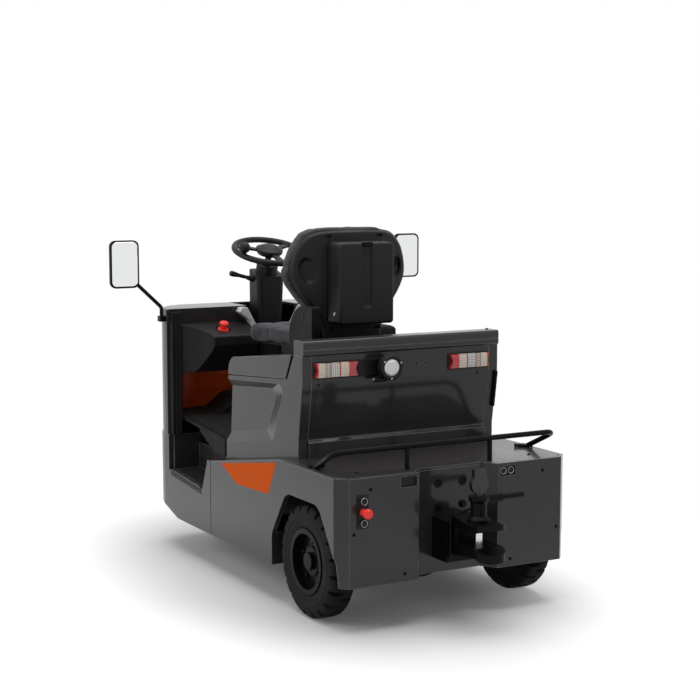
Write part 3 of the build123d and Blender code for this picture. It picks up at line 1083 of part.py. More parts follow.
def hitch_head():
    head = block(-JAW_BASE_BACK, COUPLING_AHEAD, -JAW_BASE_HALF, JAW_BASE_HALF, JAW_BASE_LOW_Z, JAW_BASE_TOP_Z)
    head += block(-JAW_BACK, -JAW_BASE_BACK, -JAW_HALF, JAW_HALF, JAW_LOW_Z, JAW_BASE_TOP_Z)
    head += jaw_lip(JAW_GAP_LOW_Z, JAW_LOW_Z, JAW_LOW_Z + JAW_LIP)
    head += jaw_lip(JAW_GAP_TOP_Z, JAW_TOP_Z, JAW_TOP_Z - JAW_LIP)
    tower = TOWER_RADIUS
    profile = [(0, JAW_GAP_TOP_Z + SHEET), (1.4 * tower, JAW_GAP_TOP_Z + SHEET), (1.4 * tower, JAW_TOP_Z),
               (tower, JAW_TOP_Z + TOWER_COLLAR), (tower, TOWER_TOP_Z - 2 * TOWER_COLLAR),
               (1.25 * tower, TOWER_TOP_Z - TOWER_COLLAR), (1.25 * tower, TOWER_TOP_Z), (0, TOWER_TOP_Z)]
    centre = ahead(PIN_AHEAD)
    head += Pos(centre, 0, 0) * turned(profile)
    lever_z = TOWER_TOP_Z - TOWER_COLLAR
    head += rod((centre, 0, lever_z), (centre, -LEVER_REACH / 2, lever_z), 1.6 * LEVER_GRIP)
    head += rod((centre, 0, lever_z), (centre, -LEVER_REACH, lever_z), LEVER_GRIP)
    head += release_hook()
    return head - rod((centre, 0, 0), (centre, 0, BODY_LENGTH), PIN_RADIUS + FIT)


def release_hook():
    """Bent hand hook beside the jaw, rising from the base block and turning in to the tower."""
    side = JAW_BASE_HALF - 2 * HOOK_RADIUS
    back = -JAW_BASE_BACK - 2 * HOOK_RADIUS
    path = [(ahead(-JAW_BASE_BACK + HOOK_RADIUS), side, JAW_BASE_LOW_Z + 4 * HOOK_RADIUS),
            (ahead(back), side, JAW_BASE_LOW_Z + 4 * HOOK_RADIUS), (ahead(back), side, JAW_TOP_Z),
            (ahead(PIN_AHEAD), 0, TOWER_TOP_Z - 3 * TOWER_COLLAR)]
    spine = FilletPolyline(*path, radius=[HOOK_RADIUS, 4 * HOOK_RADIUS])
    return sweep(Plane(path[0], z_dir=(-1, 0, 0)) * Circle(HOOK_RADIUS), path=spine)


def hitch_pin():
    centre = ahead(PIN_AHEAD)
    pin = rod((centre, 0, JAW_LOW_Z), (centre, 0, PIN_DISC_Z), PIN_RADIUS)
    half = 0.7 * PIN_RADIUS
    tab = 1.8 * PIN_RADIUS
    pin += rod((centre - half, 0, PIN_DISC_Z), (centre + half, 0, PIN_DISC_Z), PIN_DISC_RADIUS)
    return pin + block(PIN_AHEAD - half, PIN_AHEAD + half, -tab, tab, PIN_DISC_Z, PIN_TOP_Z)


def tyre():
    """Solid rubber tyre about the Y axis: rings of flat facets, with grooves between the shoulder lugs."""
    half = TYRE_WIDTH / 2
    lip = BEAD_RADIUS + FLANGE_HEIGHT + FIT
    outer = [(half - FLANGE_WIDTH, lip), (half - FLANGE_WIDTH / 4, lip + FLANGE_HEIGHT),
             (half, (lip + TYRE_RADIUS) / 2), (half - FLANGE_WIDTH / 2, TYRE_RADIUS - SHOULDER),
             (half - SHOULDER, TYRE_RADIUS)]
    rings = [(-y, radius) for y, radius in outer] + outer[::-1]
    sections = []
    for y, radius in rings:
        plane = Plane((0, y, 0), x_dir=(1, 0, 0), z_dir=(0, 1, 0))
        sections.append(plane * RegularPolygon(radius, TYRE_FACETS, major_radius=False))
    body = loft(sections, ruled=True)
    bore = RegularPolygon(BEAD_RADIUS, TYRE_FACETS, major_radius=False)
    body -= extrude(Plane.XZ * bore, TYRE_WIDTH, both=True)
    return body - lug_grooves(half)


def lug_grooves(half):
    """Grooves cut from both shoulders, deepest at the sidewall, the two rows half a pitch apart."""
    top = TYRE_RADIUS + LUG_DEPTH
    plane = Plane((-LUG_GROOVE / 2, 0, 0), x_dir=(0, 1, 0), z_dir=(1, 0, 0))
    grooves = []
    for side in (-1, 1):
        inner = -side * LUG_OVERLAP
        points = [(inner, TYRE_RADIUS - LUG_DEPTH), (side * half, TYRE_RADIUS - LUG_SHOULDER_DEPTH),
                  (side * half, top), (inner, top)]
        groove = extrude(plane * outline(points), LUG_GROOVE)
        for index in range(LUG_COUNT):
            turn = (index + side / 4) * 360 / LUG_COUNT
            grooves.append(Rot(0, turn, 0) * groove)
    return grooves


def rim_ring():
    """Barrel and flanges of a rim about the Y axis, with the tyre seat between the flanges."""
    half = TYRE_WIDTH / 2
    lip = BEAD_RADIUS + FLANGE_HEIGHT
    seat = half - FLANGE_WIDTH
    section = [(BEAD_RADIUS - RIM_WALL, -half), (lip, -half), (lip, -seat), (BEAD_RADIUS, -seat),
               (BEAD_RADIUS, seat), (lip, seat), (lip, half), (BEAD_RADIUS - RIM_WALL, half)]
    return revolve(outline(section), Axis.Y)


def wheel_disc(bore, hub_in, hub_out):
    """Disc, hub and nuts of a rim, with its bore, about the Y axis."""
    disc_middle = DISC_OUT - DISC_WALL / 2
    turn = Rot(-90, 0, 0)
    disc = Pos(0, disc_middle, 0) * turn * Cylinder(BEAD_RADIUS - RIM_WALL, DISC_WALL)
    disc += Pos(0, (hub_in + hub_out) / 2, 0) * turn * Cylinder(HUB_RADIUS, hub_out - hub_in)
    for index in range(NUT_COUNT):
        angle = 2 * math.pi * index / NUT_COUNT
        place = Pos(NUT_CIRCLE * math.sin(angle), DISC_OUT, NUT_CIRCLE * math.cos(angle))
        disc += place * turn * extrude(RegularPolygon(NUT_RADIUS, 6), NUT_RADIUS)
    return disc - Pos(0, hub_in, 0) * turn * Cylinder(bore, 4 * (hub_out - hub_in))


def rear_rim():
    half = TYRE_WIDTH / 2
    disc = wheel_disc(STUB_RADIUS + FIT, RIM_WALL - half, DISC_OUT + DISC_WALL)
    cap_base = DISC_OUT + DISC_WALL / 2
    cap = rod((0, cap_base, 0), (0, half - RIM_WALL, 0), HUB_CAP_RADIUS)
    return rim_ring() + disc + fillet(cap.edges().group_by(Axis.Y)[-1], RIM_WALL / 2)


def front_rim():
    half = TYRE_WIDTH / 2
    return rim_ring() + wheel_disc(FRONT_AXLE_RADIUS + FIT, -half, half)


def front_fork():
    inner = TYRE_WIDTH / 2 + FORK_SIDE_GAP
    outer = inner + FORK_LEG
    axle_x = ahead(FRONT_AXLE_AHEAD)
    half_leg = 2 * FRONT_AXLE_RADIUS
    leg = block(FRONT_AXLE_AHEAD - half_leg, FRONT_AXLE_AHEAD + half_leg, inner, outer,
                TYRE_RADIUS, FORK_PLATE_Z)
    leg += rod((axle_x, inner, TYRE_RADIUS), (axle_x, outer, TYRE_RADIUS), half_leg)
    collar = rod((axle_x, TYRE_WIDTH / 2 + FIT, TYRE_RADIUS), (axle_x, inner, TYRE_RADIUS),
                 1.5 * FRONT_AXLE_RADIUS)
    fork = both_sides(leg + collar)
    fork += rod((axle_x, -outer, TYRE_RADIUS), (axle_x, outer, TYRE_RADIUS), FRONT_AXLE_RADIUS)
    ring = FORK_PLATE_Z + FORK_PLATE
    fork += rod((axle_x, 0, FORK_PLATE_Z), (axle_x, 0, ring), TURNTABLE_RADIUS)
    fork += rod((axle_x, 0, ring), (axle_x, 0, TURNTABLE_Z - FIT), TURNTABLE_RADIUS - FORK_LEG)
    return fork + rod((axle_x, 0, ring), (axle_x, 0, TURNTABLE_Z + TURNTABLE_PLATE), KINGPIN_RADIUS)


def seat_base():
    cushion_end = SEAT_FRONT_AHEAD
    hood_end = UPPER_FRONT_TOP_AHEAD - HOOD_NOSE
    points = [(SEAT_REAR_AHEAD, hood_top_z(SEAT_REAR_AHEAD)), (hood_end, hood_top_z(hood_end)),
              (hood_end, seat_base_z(hood_end) - SHEET), (cushion_end, seat_base_z(cushion_end) - SHEET),
              (cushion_end, seat_base_z(cushion_end)), (SEAT_REAR_AHEAD, seat_base_z(SEAT_REAR_AHEAD))]
    base = along_y(points, -SEAT_BASE_HALF, SEAT_BASE_HALF)
    hip_front = CUSHION_REAR_AHEAD - BATTERY_GAP
    hip = [(SEAT_REAR_AHEAD, seat_base_z(SEAT_REAR_AHEAD) - SHEET), (hip_front, seat_base_z(hip_front) - SHEET),
           (hip_front, HIP_TOP_Z), (SEAT_REAR_AHEAD, HIP_TOP_Z)]
    return base + along_y(hip, SEAT_BASE_HALF, SEAT_BASE_HALF + HIP_DEPTH, [0, 0, HIP_ROUND, SHEET])


def seat_cushion():
    points = [(CUSHION_REAR_AHEAD, seat_base_z(CUSHION_REAR_AHEAD) + FIT),
              (CUSHION_FRONT_AHEAD, seat_base_z(CUSHION_FRONT_AHEAD) + FIT),
              (CUSHION_FRONT_AHEAD, CUSHION_TOP_Z), (CUSHION_REAR_AHEAD, CUSHION_TOP_Z)]
    return along_y(points, -CUSHION_HALF, CUSHION_HALF, [SHEET, CUSHION_ROUND, CUSHION_ROUND, SHEET])


def back_outline(inset):
    """Bell outline of the backrest in (y, z): narrow waist, broad wings and rounded head, in smooth halves."""
    low = seat_base_z(BACK_SHELL_AHEAD)
    waist = BACK_WAIST_HALF - inset
    points = [(waist, BACK_WAIST_Z), (BACK_HALF - inset, BACK_WING_Z),
              (BACK_HEAD_HALF - inset, BACK_HEAD_Z - inset), (0, BACK_TOP_Z - inset)]
    mirrored = [(-point[0], point[1]) for point in reversed(points)]
    left = Spline(*points, tangents=((0, 1), (-1, 0)))
    right = Spline(*mirrored, tangents=((-1, 0), (0, -1)))
    foot = Polyline((-waist, BACK_WAIST_Z), (-waist, low), (waist, low), (waist, BACK_WAIST_Z))
    return make_face([left, right, foot])


def seat_back_shell():
    shell = extrude(cross_plane(BACK_SHELL_AHEAD) * back_outline(BACK_EDGE), BACK_SHELL)
    for side in (-1, 1):
        place = Pos(side * SCOOP_Y, SCOOP_Z) * Rot(0, 0, side * SCOOP_TILT)
        scoop = place * SlotOverall(SCOOP_LENGTH, SCOOP_WIDTH)
        shell -= extrude(cross_plane(BACK_SHELL_AHEAD) * scoop, SCOOP_DEPTH)
    return shell


def seat_back_pad():
    start = BACK_SHELL_AHEAD + BACK_SHELL + FIT
    pad = extrude(cross_plane(start) * back_outline(0), BACK_PAD)
    return pad - block(start, start + 2 * BACK_PAD, -BACK_HALF, BACK_HALF, 0, CUSHION_TOP_Z + FIT)


def document_box():
    points = [(-BOX_HALF, BOX_LOW_Z), (BOX_HALF, BOX_LOW_Z), (BOX_HALF, BOX_TOP_Z), (-BOX_HALF, BOX_TOP_Z)]
    back = Plane((ahead(BACK_SHELL_AHEAD), 0, 0), x_dir=(0, 1, 0), z_dir=(-1, 0, 0))
    mirrored = [(point[0], -point[1]) for point in points]
    box = extrude(back * outline(mirrored, BOX_ROUND), BOX_DEPTH, taper=BOX_TAPER)
    middle_z = (BOX_LOW_Z + BOX_TOP_Z) / 2
    groove = Pos(0, middle_z) * Rot(0, 0, 90) * SlotOverall(BOX_GROOVE_LENGTH, BOX_GROOVE_WIDTH)
    face = BACK_SHELL_AHEAD - BOX_DEPTH
    box -= extrude(cross_plane(face) * groove, BOX_GROOVE)
    latch_z = middle_z + BOX_GROOVE_LENGTH / 2 + LATCH_HEIGHT
    return box + block(face - SHEET / 2, face + SHEET, -LATCH_WIDTH / 2, LATCH_WIDTH / 2,
                       latch_z, latch_z + LATCH_HEIGHT)


def write(name, solid):
    """One STEP file for one node."""
    export_step(solid, os.path.join("parts", name + ".step"))


def write_pair(name, solid):
    """A left piece and its mirror image on the right."""
    write("left_" + name, solid)
    write("right_" + name, mirror(solid, Plane.XZ))


def write_wheel(name, place, rim):
    """A rim and its tyre, at one place, with the disc facing outwards."""
    write(name + "_rim", place * rim)
    write(name + "_tyre", place * tyre())


os.makedirs("parts", exist_ok=True)

write("chassis_frame", chassis_frame())
write("rear_axle", rear_axle())
write("battery", battery())
write_pair("side_panel", side_panel())
write_pair("rear_cover", rear_cover())
write("coupling_plate", coupling_plate())
write("rear_deck", rear_deck())
write_pair("battery_cover", battery_cover())
write("rear_upright", rear_upright())
write("seat_box_front", seat_box_front())
write("floor_plate", floor_plate())
write_pair("step", step_box())
write("front_bumper", front_bumper())
write("front_cowl", front_cowl())
write_pair("post", corner_post())
write("footwell_wall", footwell_wall())
write_pair("dash_pod", dash_pod())
write("emergency_stop", emergency_stop())
write("steering_column", steering_column())
write_pair("column_fin", column_fin())
write("pedals", pedals())
write_pair("mirror", mirror_head())
write("handrail", handrail())
write_pair("tail_lamp", tail_lamp())
write("work_lamp", work_lamp())
write_pair("headlamp", headlamp())
write("rear_switch_plate", rear_switch_plate())
write("rear_stop_button", rear_stop_button())
write("hitch_head", hitch_head())

write("hood_shell", hood_shell())
write("seat_base", seat_base())
write("seat_cushion", seat_cushion())
write("seat_back_pad", seat_back_pad())
write("seat_back_shell", seat_back_shell())
write("document_box", document_box())

write("hitch_pin", hitch_pin())
write("steering_wheel", steering_wheel())
write("front_fork", front_fork())

REAR_PLACE = (ahead(REAR_AXLE_AHEAD), TRACK_HALF, TYRE_RADIUS)
write_wheel("rear_left", Pos(*REAR_PLACE), rear_rim())
write_wheel("rear_right", Pos(REAR_PLACE[0], -REAR_PLACE[1], REAR_PLACE[2]), mirror(rear_rim(), Plane.XZ))
write_wheel("front", Pos(ahead(FRONT_AXLE_AHEAD), 0, TYRE_RADIUS), front_rim())
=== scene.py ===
import math

import bmesh
import bpy
import numpy as np
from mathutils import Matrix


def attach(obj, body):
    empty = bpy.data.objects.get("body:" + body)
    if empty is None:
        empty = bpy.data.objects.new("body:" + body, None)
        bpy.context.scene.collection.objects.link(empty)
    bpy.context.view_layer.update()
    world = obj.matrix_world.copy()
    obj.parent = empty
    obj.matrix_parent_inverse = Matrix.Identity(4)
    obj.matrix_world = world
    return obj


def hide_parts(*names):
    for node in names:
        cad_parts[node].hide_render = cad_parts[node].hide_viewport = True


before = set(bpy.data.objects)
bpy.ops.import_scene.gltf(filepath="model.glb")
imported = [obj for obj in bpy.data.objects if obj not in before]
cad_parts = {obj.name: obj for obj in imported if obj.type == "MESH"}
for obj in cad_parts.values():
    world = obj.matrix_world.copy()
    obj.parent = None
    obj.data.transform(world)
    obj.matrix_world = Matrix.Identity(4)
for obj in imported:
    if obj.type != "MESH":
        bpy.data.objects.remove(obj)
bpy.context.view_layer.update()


# Running gear: welded steel rails, a cast drive axle, a battery in a steel tank and a forged front fork.
# All of it is sprayed satin black before assembly and stays in the dark under the panels.
def linear(code):
    """Turns an sRGB hex value into the linear colour that a shader socket takes."""
    share = np.array([int(code[i:i + 2], 16) for i in (1, 3, 5)]) / 255.0
    return (*np.where(share <= 0.04045, share / 12.92, ((share + 0.055) / 1.055) ** 2.4), 1.0)


def add(tree, kind, sockets, out=0, **settings):
    """Adds one node with its settings; a socket takes a value, or another node's output, which is linked."""
    made = tree.nodes.new("ShaderNode" + kind)
    for key, value in settings.items():
        setattr(made, key, value)
    for key, value in sockets.items():
        if isinstance(value, bpy.types.NodeSocket):
            tree.links.new(value, made.inputs[key])
        else:
            made.inputs[key].default_value = value
    return made.outputs[out] if made.outputs else made


def open_finish(name):
    """Starts a material; gives it back with its node tree and its Object coordinates."""
    finish = bpy.data.materials.new(name)
    finish.use_nodes = True
    finish.node_tree.nodes.clear()
    return finish, finish.node_tree, add(finish.node_tree, "TexCoord", {}, out="Object")


def close_finish(tree, sockets):
    """Ends a material with one Principled shader."""
    shader = add(tree, "BsdfPrincipled", sockets)
    add(tree, "OutputMaterial", {"Surface": shader})


def coat(finish, *nodes):
    """Gives CAD nodes their finish."""
    for name in nodes:
        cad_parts[name].data.materials.clear()
        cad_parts[name].data.materials.append(finish)


# Satin black enamel: a thin even film, so edges catch a soft light and dust makes patches of duller sheen.
satin_black, tree, place = open_finish("satin black enamel on steel")
dust = add(tree, "TexNoise", {"Vector": place, "Scale": 9.0, "Detail": 5.0, "Roughness": 0.6})
sheen = add(tree, "MapRange", {"Value": dust, "From Min": 0.3, "From Max": 0.7,
                               "To Min": 0.26, "To Max": 0.42})
tone = add(tree, "Mix", {0: dust, 6: linear("#080809"), 7: linear("#101011")}, out=2, data_type="RGBA")
round_edge = add(tree, "Bevel", {"Radius": 0.003}, samples=4)
# The film's own texture is about 2 mm wide; it is drawn 4 mm wide to show at all.
film = add(tree, "TexNoise", {"Vector": place, "Scale": 250.0, "Detail": 1.0})
relief = add(tree, "Bump", {"Strength": 0.06, "Distance": 0.0004, "Height": film, "Normal": round_edge})
close_finish(tree, {"Base Color": tone, "Roughness": sheen, "Specular IOR Level": 0.08, "Normal": relief})
coat(satin_black, "chassis_frame", "front_fork", "rear_left_rim", "rear_right_rim", "front_rim")

# Cast iron under paint: a grainy skin left by the sand mould, with a dull film over it.
cast_iron, tree, place = open_finish("painted cast iron")
sand = add(tree, "TexNoise", {"Vector": place, "Scale": 420.0, "Detail": 3.0})
grime = add(tree, "TexNoise", {"Vector": place, "Scale": 14.0, "Detail": 6.0})
tone = add(tree, "Mix", {0: grime, 6: linear("#141414"), 7: linear("#2a2826")}, out=2, data_type="RGBA")
relief = add(tree, "Bump", {"Strength": 0.35, "Distance": 0.0008, "Height": sand})
close_finish(tree, {"Base Color": tone, "Roughness": 0.62, "Specular IOR Level": 0.3, "Normal": relief})
coat(cast_iron, "rear_axle", "battery")


# Wheels: solid rubber tyres pressed onto two-piece pressed steel rims with five nuts.
# Each shoulder has a ring of deep block lugs, half a pitch apart from the other side.
tyre_radius = 0.212
rear_axle, front_axle, half_track = -0.468, 0.714, 0.4325


def piece(name, grids, finish, body, crease=38.0):
    """Skins grids of points with quads as one object, welds the points that meet at seams and poles, and
    makes it ride on a body."""
    points, faces, start = [], [], 0
    for grid in grids:
        rows, columns = grid.shape[:2]
        index = start + np.arange(rows * columns).reshape(rows, columns)
        quads = np.stack([index[:-1, :-1], index[:-1, 1:], index[1:, 1:], index[1:, :-1]], axis=-1)
        points.append(grid.reshape(-1, 3))
        faces.append(quads.reshape(-1, 4))
        start += rows * columns
    mesh = bpy.data.meshes.new(name)
    mesh.from_pydata(np.concatenate(points).tolist(), [], np.concatenate(faces).tolist())
    shape = bmesh.new()
    shape.from_mesh(mesh)
    bmesh.ops.remove_doubles(shape, verts=shape.verts, dist=2e-6)
    bmesh.ops.dissolve_degenerate(shape, edges=shape.edges, dist=1e-7)
    bmesh.ops.recalc_face_normals(shape, faces=shape.faces)
    shape.to_mesh(mesh)
    shape.free()
    mesh.polygons.foreach_set("use_smooth", np.ones(len(mesh.polygons), bool))
    mesh.set_sharp_from_angle(angle=math.radians(crease))
    mesh.materials.append(finish)
    made = bpy.data.objects.new(name, mesh)
    bpy.context.scene.collection.objects.link(made)
    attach(made, body)
    return made


def eased(share):
    """Smooth step: three squares less two cubes of a share from nought to one."""
    return share * share * (3 - 2 * share)


def tyre_skin(centre):
    """Tyre profile of (across, radius) points carried round the axle. In 20 grooves a side the radius drops
    to a floor that slopes from 9 mm deep at the middle to 27 mm deep at the sidewall."""
    half, lugs = 0.0525, 20
    groove_half, groove_edge = 0.0074, 0.0020
    middle_depth, more_outside = 0.009, 0.018
    outer = np.array([(0.046, 0.1125), (0.046, 0.1235), (0.0492, 0.1290), (0.0512, 0.1400), (0.0522, 0.1520),
                      (0.0525, 0.1600), (0.0537, 0.1615), (0.0538, 0.1665), (0.0525, 0.1680),
                      (0.0520, 0.1780), (0.0505, 0.1890), (0.0478, 0.1985), (0.0430, 0.2060),
                      (0.0360, 0.2105), (0.0260, 0.2117), (0.0, tyre_radius)])
    line = np.concatenate([outer, outer[-2::-1] * (-1, 1), outer[:1]])
    reach = np.concatenate([[0], np.cumsum(np.hypot(*np.diff(line, axis=0).T))])
    at = np.union1d(np.linspace(0, reach[-1], 60), reach)
    across, out = np.interp(at, reach, line[:, 0]), np.interp(at, reach, line[:, 1])
    turn = np.linspace(0, 2 * np.pi, lugs * 26 + 1)[:, None]
    skin = np.broadcast_to(out, (len(turn), len(out))).copy()
    for side in (-1, 1):
        from_groove = (turn * lugs / (2 * np.pi) + side / 4 + 0.5) % 1.0 - 0.5
        gap = np.abs(from_groove) * 2 * np.pi * tyre_radius / lugs
        inside = eased(np.clip((groove_half - gap) / groove_edge, 0, 1))
        depth = middle_depth + more_outside * np.clip(side * across / half, 0, 1)
        reaches = np.clip((side * across + 0.004) / 0.003, 0, 1)
        skin -= inside * reaches * np.clip(skin - (tyre_radius - depth), 0, None)
    return np.stack([centre[0] + skin * np.sin(turn), centre[1] + np.broadcast_to(across, skin.shape),
                     centre[2] + skin * np.cos(turn)], axis=-1)


# Solid tyre rubber: carbon-black compound from a steel mould, matt, slightly chalky where it was handled.
tyre_rubber, tree, place = open_finish("moulded solid tyre rubber")
bloom = add(tree, "TexNoise", {"Vector": place, "Scale": 16.0, "Detail": 7.0, "Roughness": 0.7})
grit = add(tree, "TexNoise", {"Vector": place, "Scale": 520.0, "Detail": 2.0})
chalk = add(tree, "MapRange", {"Value": bloom, "From Min": 0.35, "From Max": 0.75})
tone = add(tree, "Mix", {0: chalk, 6: linear("#101010"), 7: linear("#1e1e1d")}, out=2, data_type="RGBA")
sheen = add(tree, "MapRange", {"Value": bloom, "From Min": 0.3, "From Max": 0.7,
                               "To Min": 0.55, "To Max": 0.78})
relief = add(tree, "Bump", {"Strength": 0.25, "Distance": 0.0006, "Height": grit})
close_finish(tree, {"Base Color": tone, "Roughness": sheen, "Specular IOR Level": 0.12, "Normal": relief})

for wheel, along, across in (("rear_left", rear_axle, half_track), ("rear_right", rear_axle, -half_track),
                             ("front", front_axle, 0.0)):
    skin = tyre_skin((along, across, tyre_radius))
    rubber = piece(wheel + "_lugged_tyre", [skin], tyre_rubber, wheel + "_wheel")
    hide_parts(wheel + "_tyre")


# Body panels: folded and welded steel plate, bolted to the frame from inside with thin seams between plates.
# They are powder coated in a dark grey gloss, which mirrors the rail in the wall and the sky in the deck.
grey_paint, tree, place = open_finish("dark grey gloss powder coat")
# Orange peel in powder coat is about 2 mm wide; it is drawn 6 mm wide to show in the render.
peel = add(tree, "TexNoise", {"Vector": place, "Scale": 165.0, "Detail": 2.0})
sway = add(tree, "TexNoise", {"Vector": place, "Scale": 2.6, "Detail": 1.0})
dust = add(tree, "TexNoise", {"Vector": place, "Scale": 7.0, "Detail": 6.0, "Roughness": 0.65})
round_edge = add(tree, "Bevel", {"Radius": 0.004}, samples=6)
facing = add(tree, "NewGeometry", {}, out="Normal")
along = add(tree, "VectorMath", {0: round_edge, 1: facing}, out="Value", operation="DOT_PRODUCT")
# Painted highlight: along every rounded edge the base colour is lightened towards pale grey, standing in for
# the light that the folded edges catch.
painted_edge_highlight = add(tree, "MapRange", {"Value": along, "From Min": 0.995, "From Max": 0.88,
                                "To Min": 0.0, "To Max": 0.75})
tone = add(tree, "Mix", {0: dust, 6: linear("#2b2828"), 7: linear("#322f2f")}, out=2, data_type="RGBA")
tone = add(tree, "Mix", {0: painted_edge_highlight, 6: tone, 7: linear("#8f8e8d")}, out=2, data_type="RGBA")
sheen = add(tree, "MapRange", {"Value": dust, "From Min": 0.3, "From Max": 0.7,
                               "To Min": 0.30, "To Max": 0.40})
wave = add(tree, "Bump", {"Strength": 0.05, "Distance": 0.02, "Height": sway, "Normal": round_edge})
relief = add(tree, "Bump", {"Strength": 0.035, "Distance": 0.0006, "Height": peel, "Normal": wave})
close_finish(tree, {"Base Color": tone, "Roughness": sheen, "Specular IOR Level": 0.1, "Coat Weight": 0.5,
                    "Coat Roughness": 0.1, "Normal": relief, "Coat Normal": wave})
coat(grey_paint, "left_side_panel", "right_side_panel", "left_rear_cover", "right_rear_cover", "rear_deck",
     "left_battery_cover", "right_battery_cover", "rear_upright", "seat_box_front", "left_step", "right_step",
     "front_bumper", "front_cowl", "hood_shell")


# Side films: a sheet of orange vinyl on each lower side panel, cut as a slanted quadrilateral and left bare.
# It lies a third of a millimetre proud, pressed down at its edges.
both_sides = (("left", 1), ("right", -1))
body_half = 0.5
film_lift, film_edge = 0.00035, -0.0002
film_corners = ((0.240, 0.465), (-0.261, 0.550), (-0.190, 0.417), (0.089, 0.406))


def film_sheet(side):
    """Bilinear patch between four (along, height) corners, flat but for its last row, which drops to the
    panel."""
    step = np.array([0, 0, *np.linspace(0, 1, 12)[1:-1], 1, 1])
    across, down = np.meshgrid(step, step, indexing="ij")
    front_top, rear_top, rear_low, front_low = (np.array(corner) for corner in film_corners)
    top = front_top + across[..., None] * (rear_top - front_top)
    low = front_low + across[..., None] * (rear_low - front_low)
    flat = top + down[..., None] * (low - top)
    lift = np.full(across.shape, film_lift)
    lift[[0, -1], :] = film_edge
    lift[:, [0, -1]] = film_edge
    return np.stack([flat[..., 0], side * (body_half + lift), flat[..., 1]], axis=-1)


# Cast vinyl film: even saturated colour, a soft gloss and a faint ripple from the squeegee.
orange_film, tree, place = open_finish("orange cast vinyl film")
ripple = add(tree, "TexNoise", {"Vector": place, "Scale": 60.0, "Detail": 2.0})
tone = add(tree, "Mix", {0: ripple, 6: linear("#d05300"), 7: linear("#d65702")}, out=2, data_type="RGBA")
relief = add(tree, "Bump", {"Strength": 0.03, "Distance": 0.0005, "Height": ripple})
close_finish(tree, {"Base Color": tone, "Roughness": 0.5, "Specular IOR Level": 0.05, "Normal": relief})
for name, side in both_sides:
    piece(name + "_side_film", [film_sheet(side)], orange_film, "chassis", crease=80)


# Step edge and panel seam: a toothed black grip strip is riveted along the outer edge of each step's tread,
# and a black rubber seal fills the seam between the step box and the side panel.
step_rear, step_length = 0.440, 0.327
tread_rear, tread_rise, teeth = 0.3195, 0.0265, 17
strip_depth, tooth_depth = 0.003, 0.017
seam_along, seam_low, seam_top = 0.3475, 0.1485, 0.4575


def step_strip(side):
    """Strip along the sloping tread; its lower edge jumps between 3 mm and 20 mm down, 17 teeth in all."""
    along = np.linspace(0, teeth, teeth * 16 + 1)
    x = step_rear + along / teeth * step_length
    tread = tread_rear + along / teeth * tread_rise
    tooth = np.clip(4.0 - np.abs(along % 1.0 - 0.5) * 16.0, 0.0, 1.0)
    low = tread - strip_depth - tooth_depth * tooth
    rows = [tread + 0.001, tread + 0.001, low, low]
    lift = [-0.002, 0.0012, 0.0012, -0.0004]
    return np.stack([np.stack([x, np.full(x.shape, side * (body_half + out)), row], axis=-1)
                     for row, out in zip(rows, lift)])


def seam_seal(side):
    """Upright strip 3 mm wide, its edges pressed down to the panel."""
    x = seam_along + np.array([-0.0017, -0.0015, 0.0015, 0.0017])
    grid_x, grid_z = np.meshgrid(x, [seam_low, seam_top])
    lift = np.broadcast_to([-0.0003, 0.0005, 0.0005, -0.0003], grid_x.shape)
    return np.stack([grid_x, side * (body_half + lift), grid_z], axis=-1)


for name, side in both_sides:
    piece(name + "_step_teeth", [step_strip(side)], satin_black, "chassis", crease=30)
    piece(name + "_seam_seal", [seam_seal(side)], tyre_rubber, "chassis", crease=60)


# Footwell: an orange painted front wall with rounded corner sheets over a black moulded hump, two steel
# pedals, and a ribbed rubber mat that lies loose on the sloping floor plate.
orange_paint, tree, place = open_finish("orange gloss enamel")
dust = add(tree, "TexNoise", {"Vector": place, "Scale": 12.0, "Detail": 5.0})
tone = add(tree, "Mix", {0: dust, 6: linear("#c84406"), 7: linear("#da540e")}, out=2, data_type="RGBA")
round_edge = add(tree, "Bevel", {"Radius": 0.004}, samples=4)
peel = add(tree, "TexNoise", {"Vector": place, "Scale": 165.0, "Detail": 2.0})
relief = add(tree, "Bump", {"Strength": 0.04, "Distance": 0.0006, "Height": peel, "Normal": round_edge})
close_finish(tree, {"Base Color": tone, "Roughness": 0.38, "Specular IOR Level": 0.4, "Normal": relief})
coat(orange_paint, "footwell_wall")


def corner_sheet(side):
    """Quarter round of 112 mm radius, 3 mm thick, from the end of the front wall to the corner post; its
    closed section runs from the floor to the wall's top, and each end is drawn together to close it."""
    middle_along, middle_across = 0.812, 0.318
    inner, outer = 0.112, 0.115
    low, top = 0.578, 0.748
    turn = np.linspace(0, np.pi / 2, 25)[:, None]
    radius = np.array([inner, inner, outer, outer, inner])
    height = np.array([low, top, top, low, low])
    skin = np.stack([middle_along + radius * np.cos(turn), side * (middle_across + radius * np.sin(turn)),
                     np.broadcast_to(height, (25, 5))], axis=-1)
    ends = np.broadcast_to(skin[[0, -1]].mean(axis=1, keepdims=True), (2, 5, 3))
    return np.concatenate([ends[:1], skin, ends[1:]])


for name, side in both_sides:
    piece(name + "_footwell_corner", [corner_sheet(side)], orange_paint, "chassis")
coat(satin_black, "pedals")

# Ribbed floor rubber: pressed sheet, deep matt black with greyer worn patches.
floor_rubber, tree, place = open_finish("ribbed floor rubber")
scuff = add(tree, "TexNoise", {"Vector": place, "Scale": 24.0, "Detail": 7.0, "Roughness": 0.7})
grit = add(tree, "TexNoise", {"Vector": place, "Scale": 600.0, "Detail": 1.0})
worn = add(tree, "MapRange", {"Value": scuff, "From Min": 0.4, "From Max": 0.75})
tone = add(tree, "Mix", {0: worn, 6: linear("#121212"), 7: linear("#232221")}, out=2, data_type="RGBA")
relief = add(tree, "Bump", {"Strength": 0.3, "Distance": 0.0006, "Height": grit})
close_finish(tree, {"Base Color": tone, "Roughness": 0.62, "Specular IOR Level": 0.12, "Normal": relief})
coat(floor_rubber, "floor_plate")

